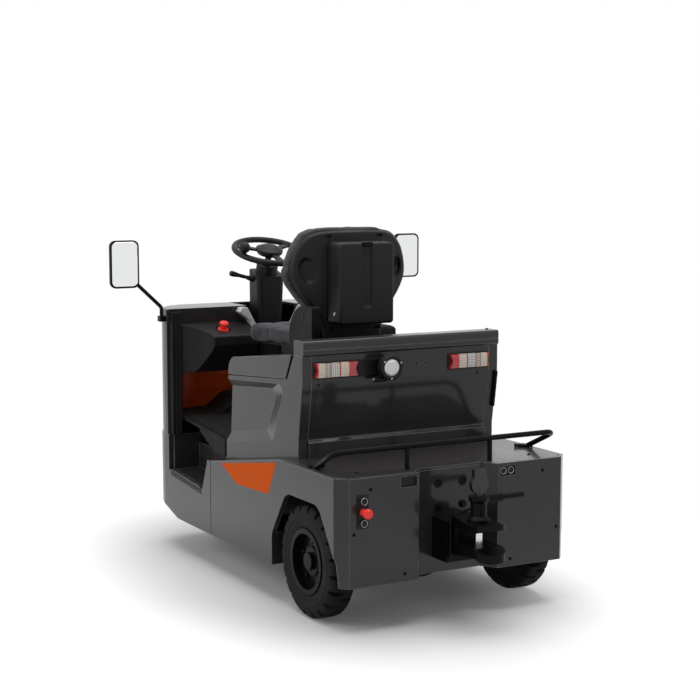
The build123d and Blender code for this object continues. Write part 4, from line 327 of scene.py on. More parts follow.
floor_rear, floor_run, floor_low, floor_rise = 0.331, 0.605, 0.543, 0.049
mat_half, mat_rear, mat_front, mat_thick, mat_edge = 0.424, 0.334, 0.730, 0.004, 0.0004
rib_half, rib_rear, rib_front, rib_pitch, rib_height = 0.42, 0.336, 0.728, 0.028, 0.0035


def floor_height(along):
    """Height of the floor plate: a straight slope from 0.543 at the seat box to 0.592 at the front wall."""
    return floor_low + (along - floor_rear) / floor_run * floor_rise


def mat_sheet():
    """Mat: a strip along and across the floor; its height is the floor's slope plus rounded ribs, and its
    edge rows drop to the plate."""
    across = np.concatenate([[-mat_half] * 2, np.linspace(-rib_half, rib_half, 30), [mat_half] * 2])
    along = np.concatenate([[mat_rear] * 2, np.linspace(rib_rear, rib_front, 393), [mat_front] * 2])
    x, y = np.meshgrid(along, across, indexing="ij")
    rib = np.clip(np.abs((x - rib_rear) / rib_pitch % 1.0 - 0.5) * 4 - 0.7, 0, 1)
    lift = mat_thick + rib_height * rib
    lift[[0, -1], :] = mat_edge
    lift[:, [0, -1]] = mat_edge
    return np.stack([x, y, floor_height(x) + lift], axis=-1)


piece("ribbed_floor_mat", [mat_sheet()], floor_rubber, "chassis", crease=60)


# Dashboard, column and small mouldings: injection moulded ABS and polypropylene with a fine etched grain.
# They are screwed and clipped to the cowl from below, so no fixings show.
black_plastic, tree, place = open_finish("grained black polypropylene")
# The etched grain is about 0.5 mm wide; it is drawn 2.5 mm wide to show as a soft break in the light.
grain = add(tree, "TexVoronoi", {"Vector": place, "Scale": 400.0})
cloud = add(tree, "TexNoise", {"Vector": place, "Scale": 10.0, "Detail": 4.0})
round_edge = add(tree, "Bevel", {"Radius": 0.006}, samples=5)
tone = add(tree, "Mix", {0: cloud, 6: linear("#121212"), 7: linear("#1a1a1a")}, out=2, data_type="RGBA")
sheen = add(tree, "MapRange", {"Value": cloud, "From Min": 0.3, "From Max": 0.7,
                               "To Min": 0.40, "To Max": 0.52})
relief = add(tree, "Bump", {"Strength": 0.09, "Distance": 0.0005, "Height": grain, "Normal": round_edge})
close_finish(tree, {"Base Color": tone, "Roughness": sheen, "Specular IOR Level": 0.2, "Normal": relief})
coat(black_plastic, "left_dash_pod", "right_dash_pod", "steering_column", "steering_wheel",
     "rear_switch_plate", "work_lamp", "left_post", "right_post")

# Pale grey ABS of the two fins beside the column: moulded smooth, slightly waxy.
pale_plastic, tree, place = open_finish("pale grey ABS")
cloud = add(tree, "TexNoise", {"Vector": place, "Scale": 30.0, "Detail": 4.0})
tone = add(tree, "Mix", {0: cloud, 6: linear("#d4d3d1"), 7: linear("#e2e1df")}, out=2, data_type="RGBA")
round_edge = add(tree, "Bevel", {"Radius": 0.006}, samples=4)
close_finish(tree, {"Base Color": tone, "Roughness": 0.42, "Normal": round_edge})
coat(pale_plastic, "left_column_fin", "right_column_fin")

# Red ABS of the stop buttons: glossy moulded caps, bright at their domes, with a faint painted red glow.
red_plastic, tree, place = open_finish("red gloss ABS")
cloud = add(tree, "TexNoise", {"Vector": place, "Scale": 40.0, "Detail": 3.0})
tone = add(tree, "Mix", {0: cloud, 6: linear("#e8231d"), 7: linear("#f5352c")}, out=2, data_type="RGBA")
round_edge = add(tree, "Bevel", {"Radius": 0.003}, samples=4)
# The emission is a painted glow that brightens the caps; the buttons are not lit.
close_finish(tree, {"Base Color": tone, "Roughness": 0.3, "Normal": round_edge,
                    "Emission Color": linear("#ff3a30"), "Emission Strength": 0.12})
coat(red_plastic, "emergency_stop", "rear_stop_button")


# Steering wheel grip: grained plastic moulded over the steel ring, with shallow finger grooves underneath.
# It sleeves the ring, so it turns with the wheel.
wheel_middle, wheel_tilt = (0.806, 0.0, 1.280), math.radians(17.0)
ring_radius, grip_radius, finger_depth, fingers = 0.155, 0.0136, 0.0012, 36


def grip_skin():
    """Torus of radius 155 mm in the wheel's tilted plane; the grip's 13.6 mm radius dips in 36 waves on its
    lower side."""
    outward = np.array([math.cos(wheel_tilt), 0.0, math.sin(wheel_tilt)])
    sideways = np.array([0.0, 1.0, 0.0])
    upward = np.array([-math.sin(wheel_tilt), 0.0, math.cos(wheel_tilt)])
    round_wheel = np.linspace(0, 2 * np.pi, 361)[:, None]
    round_grip = np.linspace(0, 2 * np.pi, 21)[None, :]
    wave = 0.5 + 0.5 * np.cos(fingers * round_wheel)
    thick = grip_radius - finger_depth * np.clip(-np.sin(round_grip), 0, 1) * wave
    out = ring_radius + thick * np.cos(round_grip)
    ring = np.cos(round_wheel)[..., None] * outward + np.sin(round_wheel)[..., None] * sideways
    return wheel_middle + out[..., None] * ring + (thick * np.sin(round_grip))[..., None] * upward


piece("steering_wheel_grip", [grip_skin()], black_plastic, "steering_wheel", crease=180)


# Direction lever: a moulded grip pushed over the steel stalk, swelling towards its rounded end.
# It is of the same grained polypropylene as the dashboard.
lever_root, lever_way = (0.844, 0.056, 1.156), (-0.0757, 0.9659, 0.2475)


def turned(profile, middle, axis, steps=28):
    """Surface of revolution: (radius, height) points carried round an axis through a middle point."""
    profile = np.asarray(profile, float)
    axis = np.asarray(axis, float) / np.linalg.norm(axis)
    first = np.cross(axis, (0.0, 0.0, 1.0) if abs(axis[2]) < 0.9 else (1.0, 0.0, 0.0))
    first /= np.linalg.norm(first)
    second = np.cross(axis, first)
    turn = np.linspace(0, 2 * np.pi, steps + 1)[:, None]
    ring = np.cos(turn) * first + np.sin(turn) * second
    return np.asarray(middle) + profile[None, :, :1] * ring[:, None, :] + profile[None, :, 1:] * axis


lever = [(0, 0.046), (0.0070, 0.046), (0.0085, 0.050), (0.0085, 0.080), (0.0115, 0.100), (0.0128, 0.115),
         (0.0115, 0.124), (0.0060, 0.128), (0, 0.1285)]
piece("direction_lever_grip", [turned(lever, lever_root, lever_way)], black_plastic, "chassis")


# Mirrors: silvered glass set in black enamelled backs on bent steel arms.
# The glass is flat with a ground edge and stands a millimetre proud of the back.
mirror_face, mirror_across, mirror_height = 0.773, 0.694, 1.245


def rounded_loop(half_width, half_height, corner, count):
    """Closed outline of a rectangle with round corners: four arcs, then spread evenly by its length."""
    bend = np.linspace(0, np.pi / 2, 12)
    arc = corner * np.stack([np.cos(bend), np.sin(bend)], axis=-1)
    forth = arc + np.array([half_width - corner, half_height - corner])
    back = forth[::-1]
    loop = np.concatenate([forth, back * (-1, 1), -forth, back * (1, -1)])
    loop = np.concatenate([loop, loop[:1]])
    run = np.concatenate([[0], np.cumsum(np.linalg.norm(np.diff(loop, axis=0), axis=1))])
    at = np.linspace(0, run[-1], count + 1)
    return np.stack([np.interp(at, run, loop[:, 0]), np.interp(at, run, loop[:, 1])], axis=-1)


def capped(loop, middle, insets, back):
    """Nested copies of a closed (across, height) outline, each drawn in by an inset and set at a distance
    along; the last one has no size and closes the face."""
    half = np.abs(loop).max(axis=0)
    shrink = 1 - np.minimum(np.asarray(insets)[:, None] / half, 1.0)
    shrink[-1] = 0.0
    flat = loop[None, :, :] * shrink[:, None, :]
    x = np.broadcast_to(np.asarray(back)[:, None], flat.shape[:2])
    return np.stack([x, middle[0] + flat[..., 0], middle[1] + flat[..., 1]], axis=-1)


# Silvered glass: a clean front-lit mirror with a trace of dust.
mirror_glass, tree, place = open_finish("silvered mirror glass")
dust = add(tree, "TexNoise", {"Vector": place, "Scale": 30.0, "Detail": 5.0})
sheen = add(tree, "MapRange", {"Value": dust, "From Min": 0.4, "From Max": 0.8,
                               "To Min": 0.015, "To Max": 0.06})
close_finish(tree, {"Base Color": linear("#e6e7e8"), "Metallic": 1.0, "Roughness": sheen})
for name, side in both_sides:
    glass = capped(rounded_loop(0.057, 0.094, 0.021, 96), (side * mirror_across, mirror_height),
                   [0.0, 0.0, 0.0012, 0.02, 0.04, 0.0935],
                   mirror_face + np.array([0.002, -0.0004, -0.0012, -0.0012, -0.0012, -0.0012]))
    piece(name + "_mirror_glass", [glass], mirror_glass, "chassis", crease=12)
coat(satin_black, "left_mirror", "right_mirror")


# Rear lamps: a black tray with a notched lens over rows of light-emitting diodes. Both ends are plain red,
# the cells between are clear over white and amber diodes, with red bars between them.
lens_inner, lens_outer, lens_notch = 0.204, 0.390, 0.011
lens_middle, lens_half, lens_seat = 0.9015, 0.0275, -0.354


def lamp_lens(side):
    """Lens: straight runs across, notched to a V at both ends; its rounded front bulges 2.5 mm."""
    height = np.array([-1, -1, *np.linspace(-0.96, 0.96, 21), 1, 1])
    run = np.linspace(0, 1, 61)
    across, up = np.meshgrid(run, height, indexing="ij")
    notch = lens_notch * (1 - np.abs(up))
    inner, outer = lens_inner + notch, lens_outer - notch
    y = inner + across * (outer - inner)
    profile = np.array([0.004, 0.012, *np.full(21, 0.016), 0.012, 0.004])
    front = profile + 0.0025 * (1 - up ** 2)
    front[[0, -1], :] = 0.004
    return np.stack([lens_seat - front, side * y, lens_middle + lens_half * up], axis=-1)


# Clear and red acrylic over diodes: coloured cells with a grid of bright dots and a hard gloss.
lamp_acrylic, tree, place = open_finish("moulded lamp acrylic")
across = add(tree, "Math", {0: add(tree, "SeparateXYZ", {0: place}, out="Y")}, operation="ABSOLUTE")
dots = add(tree, "TexVoronoi", {"Vector": place, "Scale": 105.0, "Randomness": 0.0}, out="Distance")
bright = add(tree, "MapRange", {"Value": dots, "From Min": 0.18, "From Max": 0.42,
                                "To Min": 1.0, "To Max": 0.0})
clear = add(tree, "Mix", {0: bright, 6: linear("#a39c88"), 7: linear("#fffbee")}, out=2, data_type="RGBA")
amber = add(tree, "Mix", {0: bright, 6: linear("#f1ece0"), 7: linear("#d9a35a")}, out=2, data_type="RGBA")
grey_cell = add(tree, "Mix", {0: bright, 6: linear("#f0eee8"), 7: linear("#6b6862")}, out=2, data_type="RGBA")
red, dark_red, grey_bar = linear("#d0141a"), linear("#b5161a"), linear("#4b4843")
colour = red
for start, cell in ((0.246, amber), (0.281, dark_red), (0.287, grey_cell), (0.321, dark_red), (0.325, clear),
                    (0.344, grey_bar), (0.347, amber), (0.376, red)):
    beyond = add(tree, "Math", {0: across, 1: start}, operation="GREATER_THAN")
    colour = add(tree, "Mix", {0: beyond, 6: colour, 7: cell}, out=2, data_type="RGBA")
relief = add(tree, "Bump", {"Strength": 0.3, "Distance": 0.001, "Height": dots})
close_finish(tree, {"Base Color": colour, "Roughness": 0.18, "Coat Weight": 0.6, "Coat Roughness": 0.04,
                    "Normal": relief})
for name, side in both_sides:
    tray = capped(rounded_loop(0.095, 0.0325, 0.008, 80), (side * 0.297, lens_middle),
                  [0, 0, 0.002, 0.006, 0.0324], [-0.352, -0.3565, -0.3585, -0.3588, -0.3588])
    piece(name + "_lamp_tray", [tray], black_plastic, "chassis")
    lens = piece(name + "_lamp_lens", [lamp_lens(side)], lamp_acrylic, "chassis", crease=35)
    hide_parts(name + "_tail_lamp")


# Work lamp, headlamps and fixings: turned and pressed parts. The work lamp's glass sits in a black can with
# three bezel screws; pan-head screws hold the wall, covers and deck.
backward = (-1, 0, 0)
can_middle, can_foot = (-0.389, 0.090, 0.903), (-0.385, 0.146, 0.857)
bezel_face, bezel_radius = -0.428, 0.0415

# Pressed lamp glass over a bright reflector: pale, hard gloss, with rows of 8 mm pillow optics.
lamp_glass, tree, place = open_finish("pillow lamp glass over a reflector")
flute = add(tree, "TexVoronoi", {"Vector": place, "Scale": 125.0, "Randomness": 0.0}, out="Distance")
tone = add(tree, "Mix", {0: flute, 6: linear("#f2f3f3"), 7: linear("#b4b6b8")}, out=2, data_type="RGBA")
relief = add(tree, "Bump", {"Strength": 0.2, "Distance": 0.001, "Height": flute})
close_finish(tree, {"Base Color": tone, "Metallic": 0.35, "Roughness": 0.2, "Coat Weight": 1.0,
                    "Coat Roughness": 0.03, "Normal": relief})
coat(lamp_glass, "left_headlamp", "right_headlamp")
can = [(0.040, 0.000), (0.0455, 0.003), (0.0455, 0.010), (0.0435, 0.011), (0.0435, 0.013), (0.0455, 0.014),
       (0.0455, 0.021), (0.0435, 0.022), (0.0435, 0.024), (0.048, 0.026), (0.048, 0.036), (0.045, 0.039),
       (0.0365, 0.039), (0.0345, 0.036), (0.0340, 0.028), (0.0, 0.028)]
piece("work_lamp_can", [turned(can, can_middle, backward, 56)], black_plastic, "chassis",
      crease=30)
dome = [(0.0338, 0.029), (0.0338, 0.034), (0.0320, 0.0362), (0.024, 0.0385), (0.012, 0.0398), (0, 0.0402)]
piece("work_lamp_glass", [turned(dome, can_middle, backward, 56)], lamp_glass, "chassis")
foot = [(0, 0), (0.011, 0), (0.011, 0.052), (0, 0.052)]
piece("work_lamp_foot", [turned(foot, can_foot, (0, -1, 0), 24)], black_plastic, "chassis",
      crease=30)

# Zinc plated steel: fine bright machining with a slightly grey bloom.
zinc_steel, tree, place = open_finish("zinc plated steel")
bloom = add(tree, "TexNoise", {"Vector": place, "Scale": 90.0, "Detail": 4.0})
tone = add(tree, "Mix", {0: bloom, 6: linear("#8b8c8d"), 7: linear("#b9babb")}, out=2, data_type="RGBA")
sheen = add(tree, "MapRange", {"Value": bloom, "From Min": 0.3, "From Max": 0.7,
                               "To Min": 0.24, "To Max": 0.42})
round_edge = add(tree, "Bevel", {"Radius": 0.0015}, samples=4)
close_finish(tree, {"Base Color": tone, "Metallic": 1.0, "Roughness": sheen, "Normal": round_edge})
foot_bolt = [(0.0072, 0.0), (0.0072, 0.005), (0.0060, 0.0065), (0, 0.0068)]
piece("work_lamp_bolt", [turned(foot_bolt, can_foot, (0, 1, 0), 6)], zinc_steel, "chassis",
      crease=20)

rear_face = -0.756
screw = [(0.0062, 0.0), (0.0062, 0.0012), (0.0052, 0.0030), (0.0034, 0.0038), (0.0030, 0.0038),
         (0.0027, 0.0016), (0.0, 0.0014)]
cover_screws = [(rear_face, y, z) for y, z in ((0.373, 0.523), (0.440, 0.366), (-0.373, 0.523),
                                               (-0.440, 0.300), (0.230, 0.200), (-0.230, 0.200))]
panel_screws = [*((middle, backward) for middle in cover_screws),
                ((-0.661, 0.376, 0.567), (0, 0, 1)), ((-0.661, -0.376, 0.567), (0, 0, 1)),
                ((-0.3505, 0.367, 0.846), (-0.94, 0, -0.34)), ((-0.3505, -0.341, 0.849), (-0.94, 0, -0.34)),
                ((-0.354, 0.145, 0.918), backward), ((-0.309, -0.415, 1.014), (0, 0, 1))]
piece("panel_screws", [turned(screw, middle, axis) for middle, axis in panel_screws], satin_black, "chassis",
      crease=30)
small_screw = [(0.0036, 0.0), (0.0036, 0.0012), (0.0028, 0.0018), (0, 0.0018)]
bezel_screws = [(bezel_face, can_middle[1] + bezel_radius * math.cos(turn),
                 can_middle[2] + bezel_radius * math.sin(turn)) for turn in np.radians((35, 155, 275))]
piece("work_lamp_screws", [turned(small_screw, middle, backward, 14) for middle in bezel_screws], zinc_steel,
      "chassis")

# A steel hinge for the wall's side door runs down the right edge, its barrel rolled in five knuckles.
knuckle = np.array([(0.0, 0.0), (0.0068, 0.0), (0.0078, 0.001), (0.0078, 0.026), (0.0068, 0.027),
                    (0.0068, 0.0285)])
barrel = np.concatenate([knuckle[1:] + (0, 0.029 * i) for i in range(5)])
barrel = np.concatenate([knuckle[:1], barrel, [(0.0, 0.145)]])
hinge_low, hinge_way = (-0.3376, -0.427, 0.708), (-0.148, 0, 0.989)
piece("side_door_hinge", [turned(barrel, hinge_low, hinge_way, 24)], satin_black, "chassis",
      crease=30)

# Quarter-turn locks sit in the slanted end of each pressed pocket.
lock = [(0.0105, -0.004), (0.0105, 0.0012), (0.0090, 0.0022), (0.0078, 0.0012), (0.0076, -0.0010),
        (0.0030, -0.0010), (0.0026, 0.0010), (0.0, 0.0010)]
cover_locks = [turned(lock, (-0.159, side * 0.4285, 0.785), (0.217, side * 0.976, 0)) for side in (1, -1)]
piece("cover_locks", cover_locks, satin_black, "chassis", crease=30)


# Rear corner covers: below the deck each has a service slot with a blank black plate behind it.
# In the right one two round sockets take the chargers' plugs.
slot_height, slot_face = 0.5365, -0.751
for name, side in both_sides:
    plate = capped(rounded_loop(0.040, 0.024, 0.004, 64), (side * 0.214, slot_height), [0, 0, 0.001, 0.0235],
                   [-0.745, -0.7505, slot_face, slot_face])
    piece(name + "_slot_plate", [plate], black_plastic, "chassis")
socket = [(0.0135, -0.001), (0.0135, 0.002), (0.0125, 0.003), (0.0112, 0.002), (0.0110, -0.001)]
sockets = [turned(socket, (slot_face, y, slot_height), backward) for y in (-0.197, -0.231)]
piece("service_sockets", sockets, zinc_steel, "chassis")

# The switch plate's two push buttons have satin rings round black caps.
buttons = [(-0.768, 0.4055, z) for z in (0.406, 0.486)]
ring = [(0.0135, -0.001), (0.0135, 0.003), (0.0124, 0.0042), (0.0112, 0.003), (0.0110, -0.001)]
piece("switch_button_rings", [turned(ring, middle, backward, 36) for middle in buttons], zinc_steel,
      "chassis")
cap = [(0.0108, -0.001), (0.0108, 0.0022), (0.0095, 0.0034), (0.0, 0.0036)]
piece("switch_button_caps", [turned(cap, middle, backward, 36) for middle in buttons], black_plastic,
      "chassis")


# Towing coupling and handrail: a cast jaw bolted to the recess plate, a lifting pin of turned steel, and a
# rail of bent steel tube standing on the deck. Castings, tube and plate bolts are sprayed satin black.
coat(satin_black, "hitch_head", "handrail")
coat(grey_paint, "coupling_plate")
hex_bolt = [(0.0, 0.0), (0.0150, 0.0), (0.0150, 0.0025), (0.0125, 0.0025), (0.0125, 0.0095),
            (0.0110, 0.0110), (0.0, 0.0112)]
plate_bolts = [turned(hex_bolt, (-0.6958, y, z), backward, 18)
               for y in (0.053, -0.053) for z in (0.247, 0.417)]
piece("coupling_plate_bolts", plate_bolts, satin_black, "chassis", crease=30)
grommet = [(0.0, -0.003), (0.0100, -0.003), (0.0115, 0.0), (0.0135, 0.0022), (0.0165, 0.0024),
           (0.0178, 0.0006), (0.0178, -0.001), (0.0, -0.0045)]
cable_grommets = [turned(grommet, (-0.696, y, 0.504), backward, 36) for y in (0.053, -0.053)]
piece("cable_grommets", cable_grommets, tyre_rubber, "chassis", crease=30)

# Turned steel pin: bright where the towing eye polishes it, sprayed black with its lifting head above.
pin_finish, tree, place = open_finish("polished steel pin with a black head")
height = add(tree, "SeparateXYZ", {0: place}, out="Z")
head = add(tree, "Math", {0: height, 1: 0.372}, operation="GREATER_THAN")
scratch = add(tree, "TexNoise", {"Vector": place, "Scale": 120.0, "Detail": 5.0})
steel = add(tree, "Mix", {0: scratch, 6: linear("#b7b8b9"), 7: linear("#e4e4e4")}, out=2, data_type="RGBA")
tone = add(tree, "Mix", {0: head, 6: steel, 7: linear("#111112")}, out=2, data_type="RGBA")
metal = add(tree, "Math", {0: 1.0, 1: head}, operation="SUBTRACT")
sheen = add(tree, "MapRange", {"Value": head, "To Min": 0.22, "To Max": 0.34})
round_edge = add(tree, "Bevel", {"Radius": 0.002}, samples=4)
close_finish(tree, {"Base Color": tone, "Metallic": metal, "Roughness": sheen, "Normal": round_edge})
coat(pin_finish, "hitch_pin")

# A cross bar with two bolt heads clamps each foot of the rail to the deck.
clamp = [(0, 0), (0.0075, 0), (0.0075, 0.006), (0.005, 0.007), (0.005, 0.064), (0.0075, 0.065),
         (0.0075, 0.071), (0, 0.071)]
clamps = [turned(clamp, (-0.497, side * 0.424, 0.574), (-0.67, side * 0.74, 0), 20) for side in (1, -1)]
piece("rail_foot_clamps", clamps, satin_black, "chassis", crease=30)


# Seat back: a moulded polypropylene shell behind the padded backrest, with two scooped hand holds, and a
# document box with a tapered front hooked onto it.
def smooth_line(points, count):
    """Curve through points: each span is a cubic whose end slopes run parallel to its neighbours' chord."""
    points = np.asarray(points, float)
    padded_points = np.concatenate([points[:1] * 2 - points[1:2], points, points[-1:] * 2 - points[-2:-1]])
    at = np.linspace(0, len(points) - 1, count)
    span = np.minimum(at.astype(int), len(points) - 2)
    t = (at - span)[:, None]
    a, b, c, d = (padded_points[span + i] for i in range(4))
    return 0.5 * (2 * b + (c - a) * t + (2 * a - 5 * b + 4 * c - d) * t ** 2
                  + (3 * b - a - 3 * c + d) * t ** 3)


def back_loop(count):
    """Bell outline of the shell, left half mirrored: foot, waist, wing, head and top."""
    half = [(0.0, 0.962), (0.100, 0.962), (0.128, 0.966), (0.135, 1.010), (0.158, 1.068), (0.202, 1.120),
            (0.236, 1.165), (0.259, 1.212), (0.262, 1.255), (0.253, 1.303), (0.235, 1.341), (0.210, 1.370),
            (0.184, 1.388), (0.144, 1.398), (0.100, 1.401), (0.0, 1.402)]
    left = smooth_line(half, count // 2)
    return np.concatenate([left, left[-2::-1] * (-1, 1)])


def wrap(across):
    """How far the backrest's wings come forward: 45 mm at 267 mm out, with the square of the distance."""
    return 0.045 * (across / 0.267) ** 2


def back_shell():
    """Shell: nested copies of the bell outline drawn in towards its middle. The edge rolls over a 22 mm
    depth, the face crowns 8 mm and its wings come forward; two oval scoops, tilted 15 degrees, are pressed
    in, deepest at their outer end."""
    loop = back_loop(260)
    middle = np.array([0.0, 1.205])
    front, edge_depth, crown = 0.046, 0.022, 0.008
    scoop_half, scoop_tall, tilt_cos, tilt_sin = 0.038, 0.056, 0.965, 0.26
    roll = np.linspace(0, np.pi / 2, 8)
    run = np.linspace(0.93, 0.0, 60)
    scale = np.concatenate([1 - 0.055 * (1 - np.cos(roll)), run])
    depth = np.concatenate([edge_depth * np.sin(roll), edge_depth + crown * (1 - (run / 0.945) ** 2)])
    flat = middle + scale[:, None, None] * (loop - middle)
    x = front - np.broadcast_to(depth[:, None], flat.shape[:2]) + wrap(flat[..., 0])
    for side in (-1, 1):
        from_scoop = flat - np.array([side * 0.198, 1.245])
        outward = side * from_scoop[..., 0] * tilt_cos - from_scoop[..., 1] * tilt_sin
        upward = side * from_scoop[..., 0] * tilt_sin + from_scoop[..., 1] * tilt_cos
        away = np.hypot(outward / scoop_half, upward / scoop_tall)
        pressed = eased(np.clip((1 - away) / 0.32, 0, 1))
        x = x + (0.014 + 0.010 * np.clip(outward / scoop_half, -1, 1)) * pressed
    back = np.stack([x, flat[..., 0], flat[..., 1]], axis=-1)
    inner = middle + 0.90 * (loop - middle)
    rim = np.stack([0.047 + wrap(inner[:, 0]), *inner.T], axis=-1)
    return np.concatenate([rim[None], back])


shell = piece("backrest_shell", [back_shell()], black_plastic, "hood", crease=60)
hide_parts("seat_back_shell")
sunk_screw = [(0.0078, -0.004), (0.0078, 0.0012), (0.0066, 0.0022), (0.0052, 0.0010), (0.0048, -0.0030),
              (0.0, -0.0030)]
shell_screws = [turned(sunk_screw, (0.0205, side * y, z), backward)
                for y, z in ((0.118, 1.383), (0.108, 1.010)) for side in (1, -1)]
piece("backrest_screws", shell_screws, satin_black, "hood", crease=30)


def document_case():
    """Box: a square net of (across, height) points, its corner squares drawn in to a round corner. Each ring
    in from the border has its depth: the wall tapers 3 mm, the edge rolls over 9 mm, the face is flat. A
    groove with a round end runs down the middle of the face."""
    back, middle, corner = 0.016, 1.195, 0.018
    taper, wall, edge = 0.003, 0.086, 0.009
    groove_half, groove_side, groove_depth, groove_low, groove_top = 0.024, 0.010, 0.010, 0.075, 0.160
    roll = np.linspace(0, np.pi / 2, 7)
    inset = np.concatenate([[0.0, 0.0, 0.001, taper], taper + edge * (1 - np.cos(roll[1:]))])
    depth = np.concatenate([[-0.004, 0.004, 0.010, wall], wall + edge * np.sin(roll[1:])])
    ring = np.arange(len(inset))
    half = np.array([0.125, 0.165])
    across = np.concatenate([inset - half[0], np.linspace(-0.11, 0.11, 89), half[0] - inset[::-1]])
    height = np.concatenate([inset - half[1], np.linspace(-0.15, 0.15, 76), half[1] - inset[::-1]])
    ring_across = np.concatenate([ring, np.full(89, ring[-1]), ring[::-1]])
    ring_height = np.concatenate([ring, np.full(76, ring[-1]), ring[::-1]])
    flat = np.stack(np.meshgrid(across, height, indexing="ij"), axis=-1)
    beyond = np.clip(np.abs(flat) - (half - corner), 0, None)
    length = np.maximum(np.linalg.norm(beyond, axis=-1, keepdims=True), 1e-9)
    flat = flat + np.sign(flat) * beyond * (beyond.max(axis=-1, keepdims=True) / length - 1)
    x = back - depth[np.minimum(ring_across[:, None], ring_height[None, :])]
    away = np.hypot(flat[..., 0], np.minimum(flat[..., 1] + groove_low, 0.0))
    below_top = np.clip((groove_top - flat[..., 1]) / groove_side, 0, 1)
    x = x + groove_depth * eased(np.clip((groove_half - away) / groove_side, 0, 1) * below_top)
    return np.stack([x, flat[..., 0], middle + flat[..., 1]], axis=-1)


case = piece("document_case", [document_case()], black_plastic, "hood", crease=50)
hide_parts("document_box")
latch = capped(rounded_loop(0.024, 0.010, 0.008, 60), (0.0, 1.352), [0, 0, 0.002, 0.005, 0.0098],
               [-0.060, -0.080, -0.0838, -0.0845, -0.0845])
piece("document_case_latch", [latch], satin_black, "hood")
key_ring = [(0.0085, -0.003), (0.0085, 0.0020), (0.0072, 0.0030), (0.0060, 0.0018), (0.0, 0.0016)]
piece("document_case_lock", [turned(key_ring, (-0.030, 0.1225, 1.075), (0, 1, 0))], zinc_steel, "hood")


# Recline cover: a rounded moulding on the left of the seat base over the recline gear, with one capped
# screw. The base is enamelled steel, and the cap a pressed plastic disc that snaps over the screw's head.
coat(satin_black, "seat_base")
screw_cap = [(0.0135, -0.002), (0.0135, 0.0010), (0.0120, 0.0020), (0.0112, 0.0010), (0.0, 0.0016)]
piece("recline_cover_cap", [turned(screw_cap, (-0.035, 0.270, 1.072), (0, 1, 0))], black_plastic, "hood",
      crease=30)


# Seat cushion and backrest pad: moulded foam under a woven cover that is sewn with channels.
# The foam swells against the cloth, so the panels crown between the seams.
# Woven seat cloth: a tight two-thread weave of about 1 mm; it is drawn 3 mm wide so that it shows.
seat_cloth, tree, place = open_finish("woven polyester seat cloth")
warp = add(tree, "TexWave", {"Vector": place, "Scale": 52.0, "Distortion": 0.6}, bands_direction="Y")
weft = add(tree, "TexWave", {"Vector": place, "Scale": 52.0, "Distortion": 0.6}, bands_direction="DIAGONAL")
weave = add(tree, "Math", {0: warp, 1: weft}, operation="MULTIPLY")
fluff = add(tree, "TexNoise", {"Vector": place, "Scale": 140.0, "Detail": 5.0})
tone = add(tree, "Mix", {0: weave, 6: linear("#2a2a30"), 7: linear("#41414a")}, out=2, data_type="RGBA")
tone = add(tree, "Mix", {0: 0.25, 6: tone, 7: fluff}, out=2, data_type="RGBA", blend_type="MULTIPLY")
relief = add(tree, "Bump", {"Strength": 0.35, "Distance": 0.0008, "Height": weave})
close_finish(tree, {"Base Color": tone, "Roughness": 0.85, "Specular IOR Level": 0.25, "Sheen Weight": 0.25,
                    "Sheen Roughness": 0.45, "Normal": relief})


def rows_of(made, what):
    """A mesh's points or normals as rows of three."""
    flat = np.empty(len(made.data.vertices) * 3)
    made.data.vertices.foreach_get(what, flat)
    return flat.reshape(-1, 3)


def even_net(node, name):
    """Copies a soft solid as a new object, merges its loose triangles and remeshes it at 6 mm."""
    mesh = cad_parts[node].data.copy()
    shape = bmesh.new()
    shape.from_mesh(mesh)
    bmesh.ops.remove_doubles(shape, verts=shape.verts, dist=1e-5)
    shape.to_mesh(mesh)
    shape.free()
    made = bpy.data.objects.new(name, mesh)
    bpy.context.scene.collection.objects.link(made)
    remesh = made.modifiers.new("even net", "REMESH")
    remesh.mode = "VOXEL"
    remesh.voxel_size = 0.006
    made.data = bpy.data.meshes.new_from_object(made.evaluated_get(bpy.context.evaluated_depsgraph_get()))
    made.modifiers.clear()
    return made


def fit_to_shell(points):
    """Stretches a backrest across at each height to 18 mm past its shell's edge, then brings its wings
    forward with the shell, the rear face more than the front."""
    x, y, z = points.T
    edge = back_loop(260)[:130]
    level = np.linspace(z.min(), z.max(), 41)
    own_half = np.zeros(41)
    np.maximum.at(own_half, np.searchsorted(level, z), np.abs(y))
    own_half[0] = own_half[1]
    height = z - 0.015 * np.clip((z - 1.2) / 0.2, 0, 1)
    shell_half = np.interp(height, edge[:, 1], edge[:, 0]) + 0.018
    y *= np.clip(shell_half / np.interp(z, level, own_half), 0.9, 1.35)
    x += wrap(y) * np.clip(1.0 - 7.0 * (x - 0.045), 0.2, 1.0)


def foam_pressure(made, start, cap):
    """Swells a net from its start by cloth pressure in 20 steps; no point moves past the cap."""
    cloth = made.modifiers.new("foam pressure", "CLOTH")
    cloth.settings.use_pressure = True
    cloth.settings.uniform_pressure_force = 4.0
    cloth.settings.effector_weights.gravity = 0.0
    cloth.settings.tension_stiffness = 12.0
    cloth.settings.bending_stiffness = 8.0
    for step in range(1, 21):
        bpy.context.scene.frame_set(step)
    move = rows_of(made.evaluated_get(bpy.context.evaluated_depsgraph_get()), "co") - start
    made.modifiers.clear()
    bpy.context.scene.frame_set(1)
    length = np.linalg.norm(move, axis=1, keepdims=True)
    return start + move * np.minimum(1.0, cap / np.maximum(length, 1e-9))


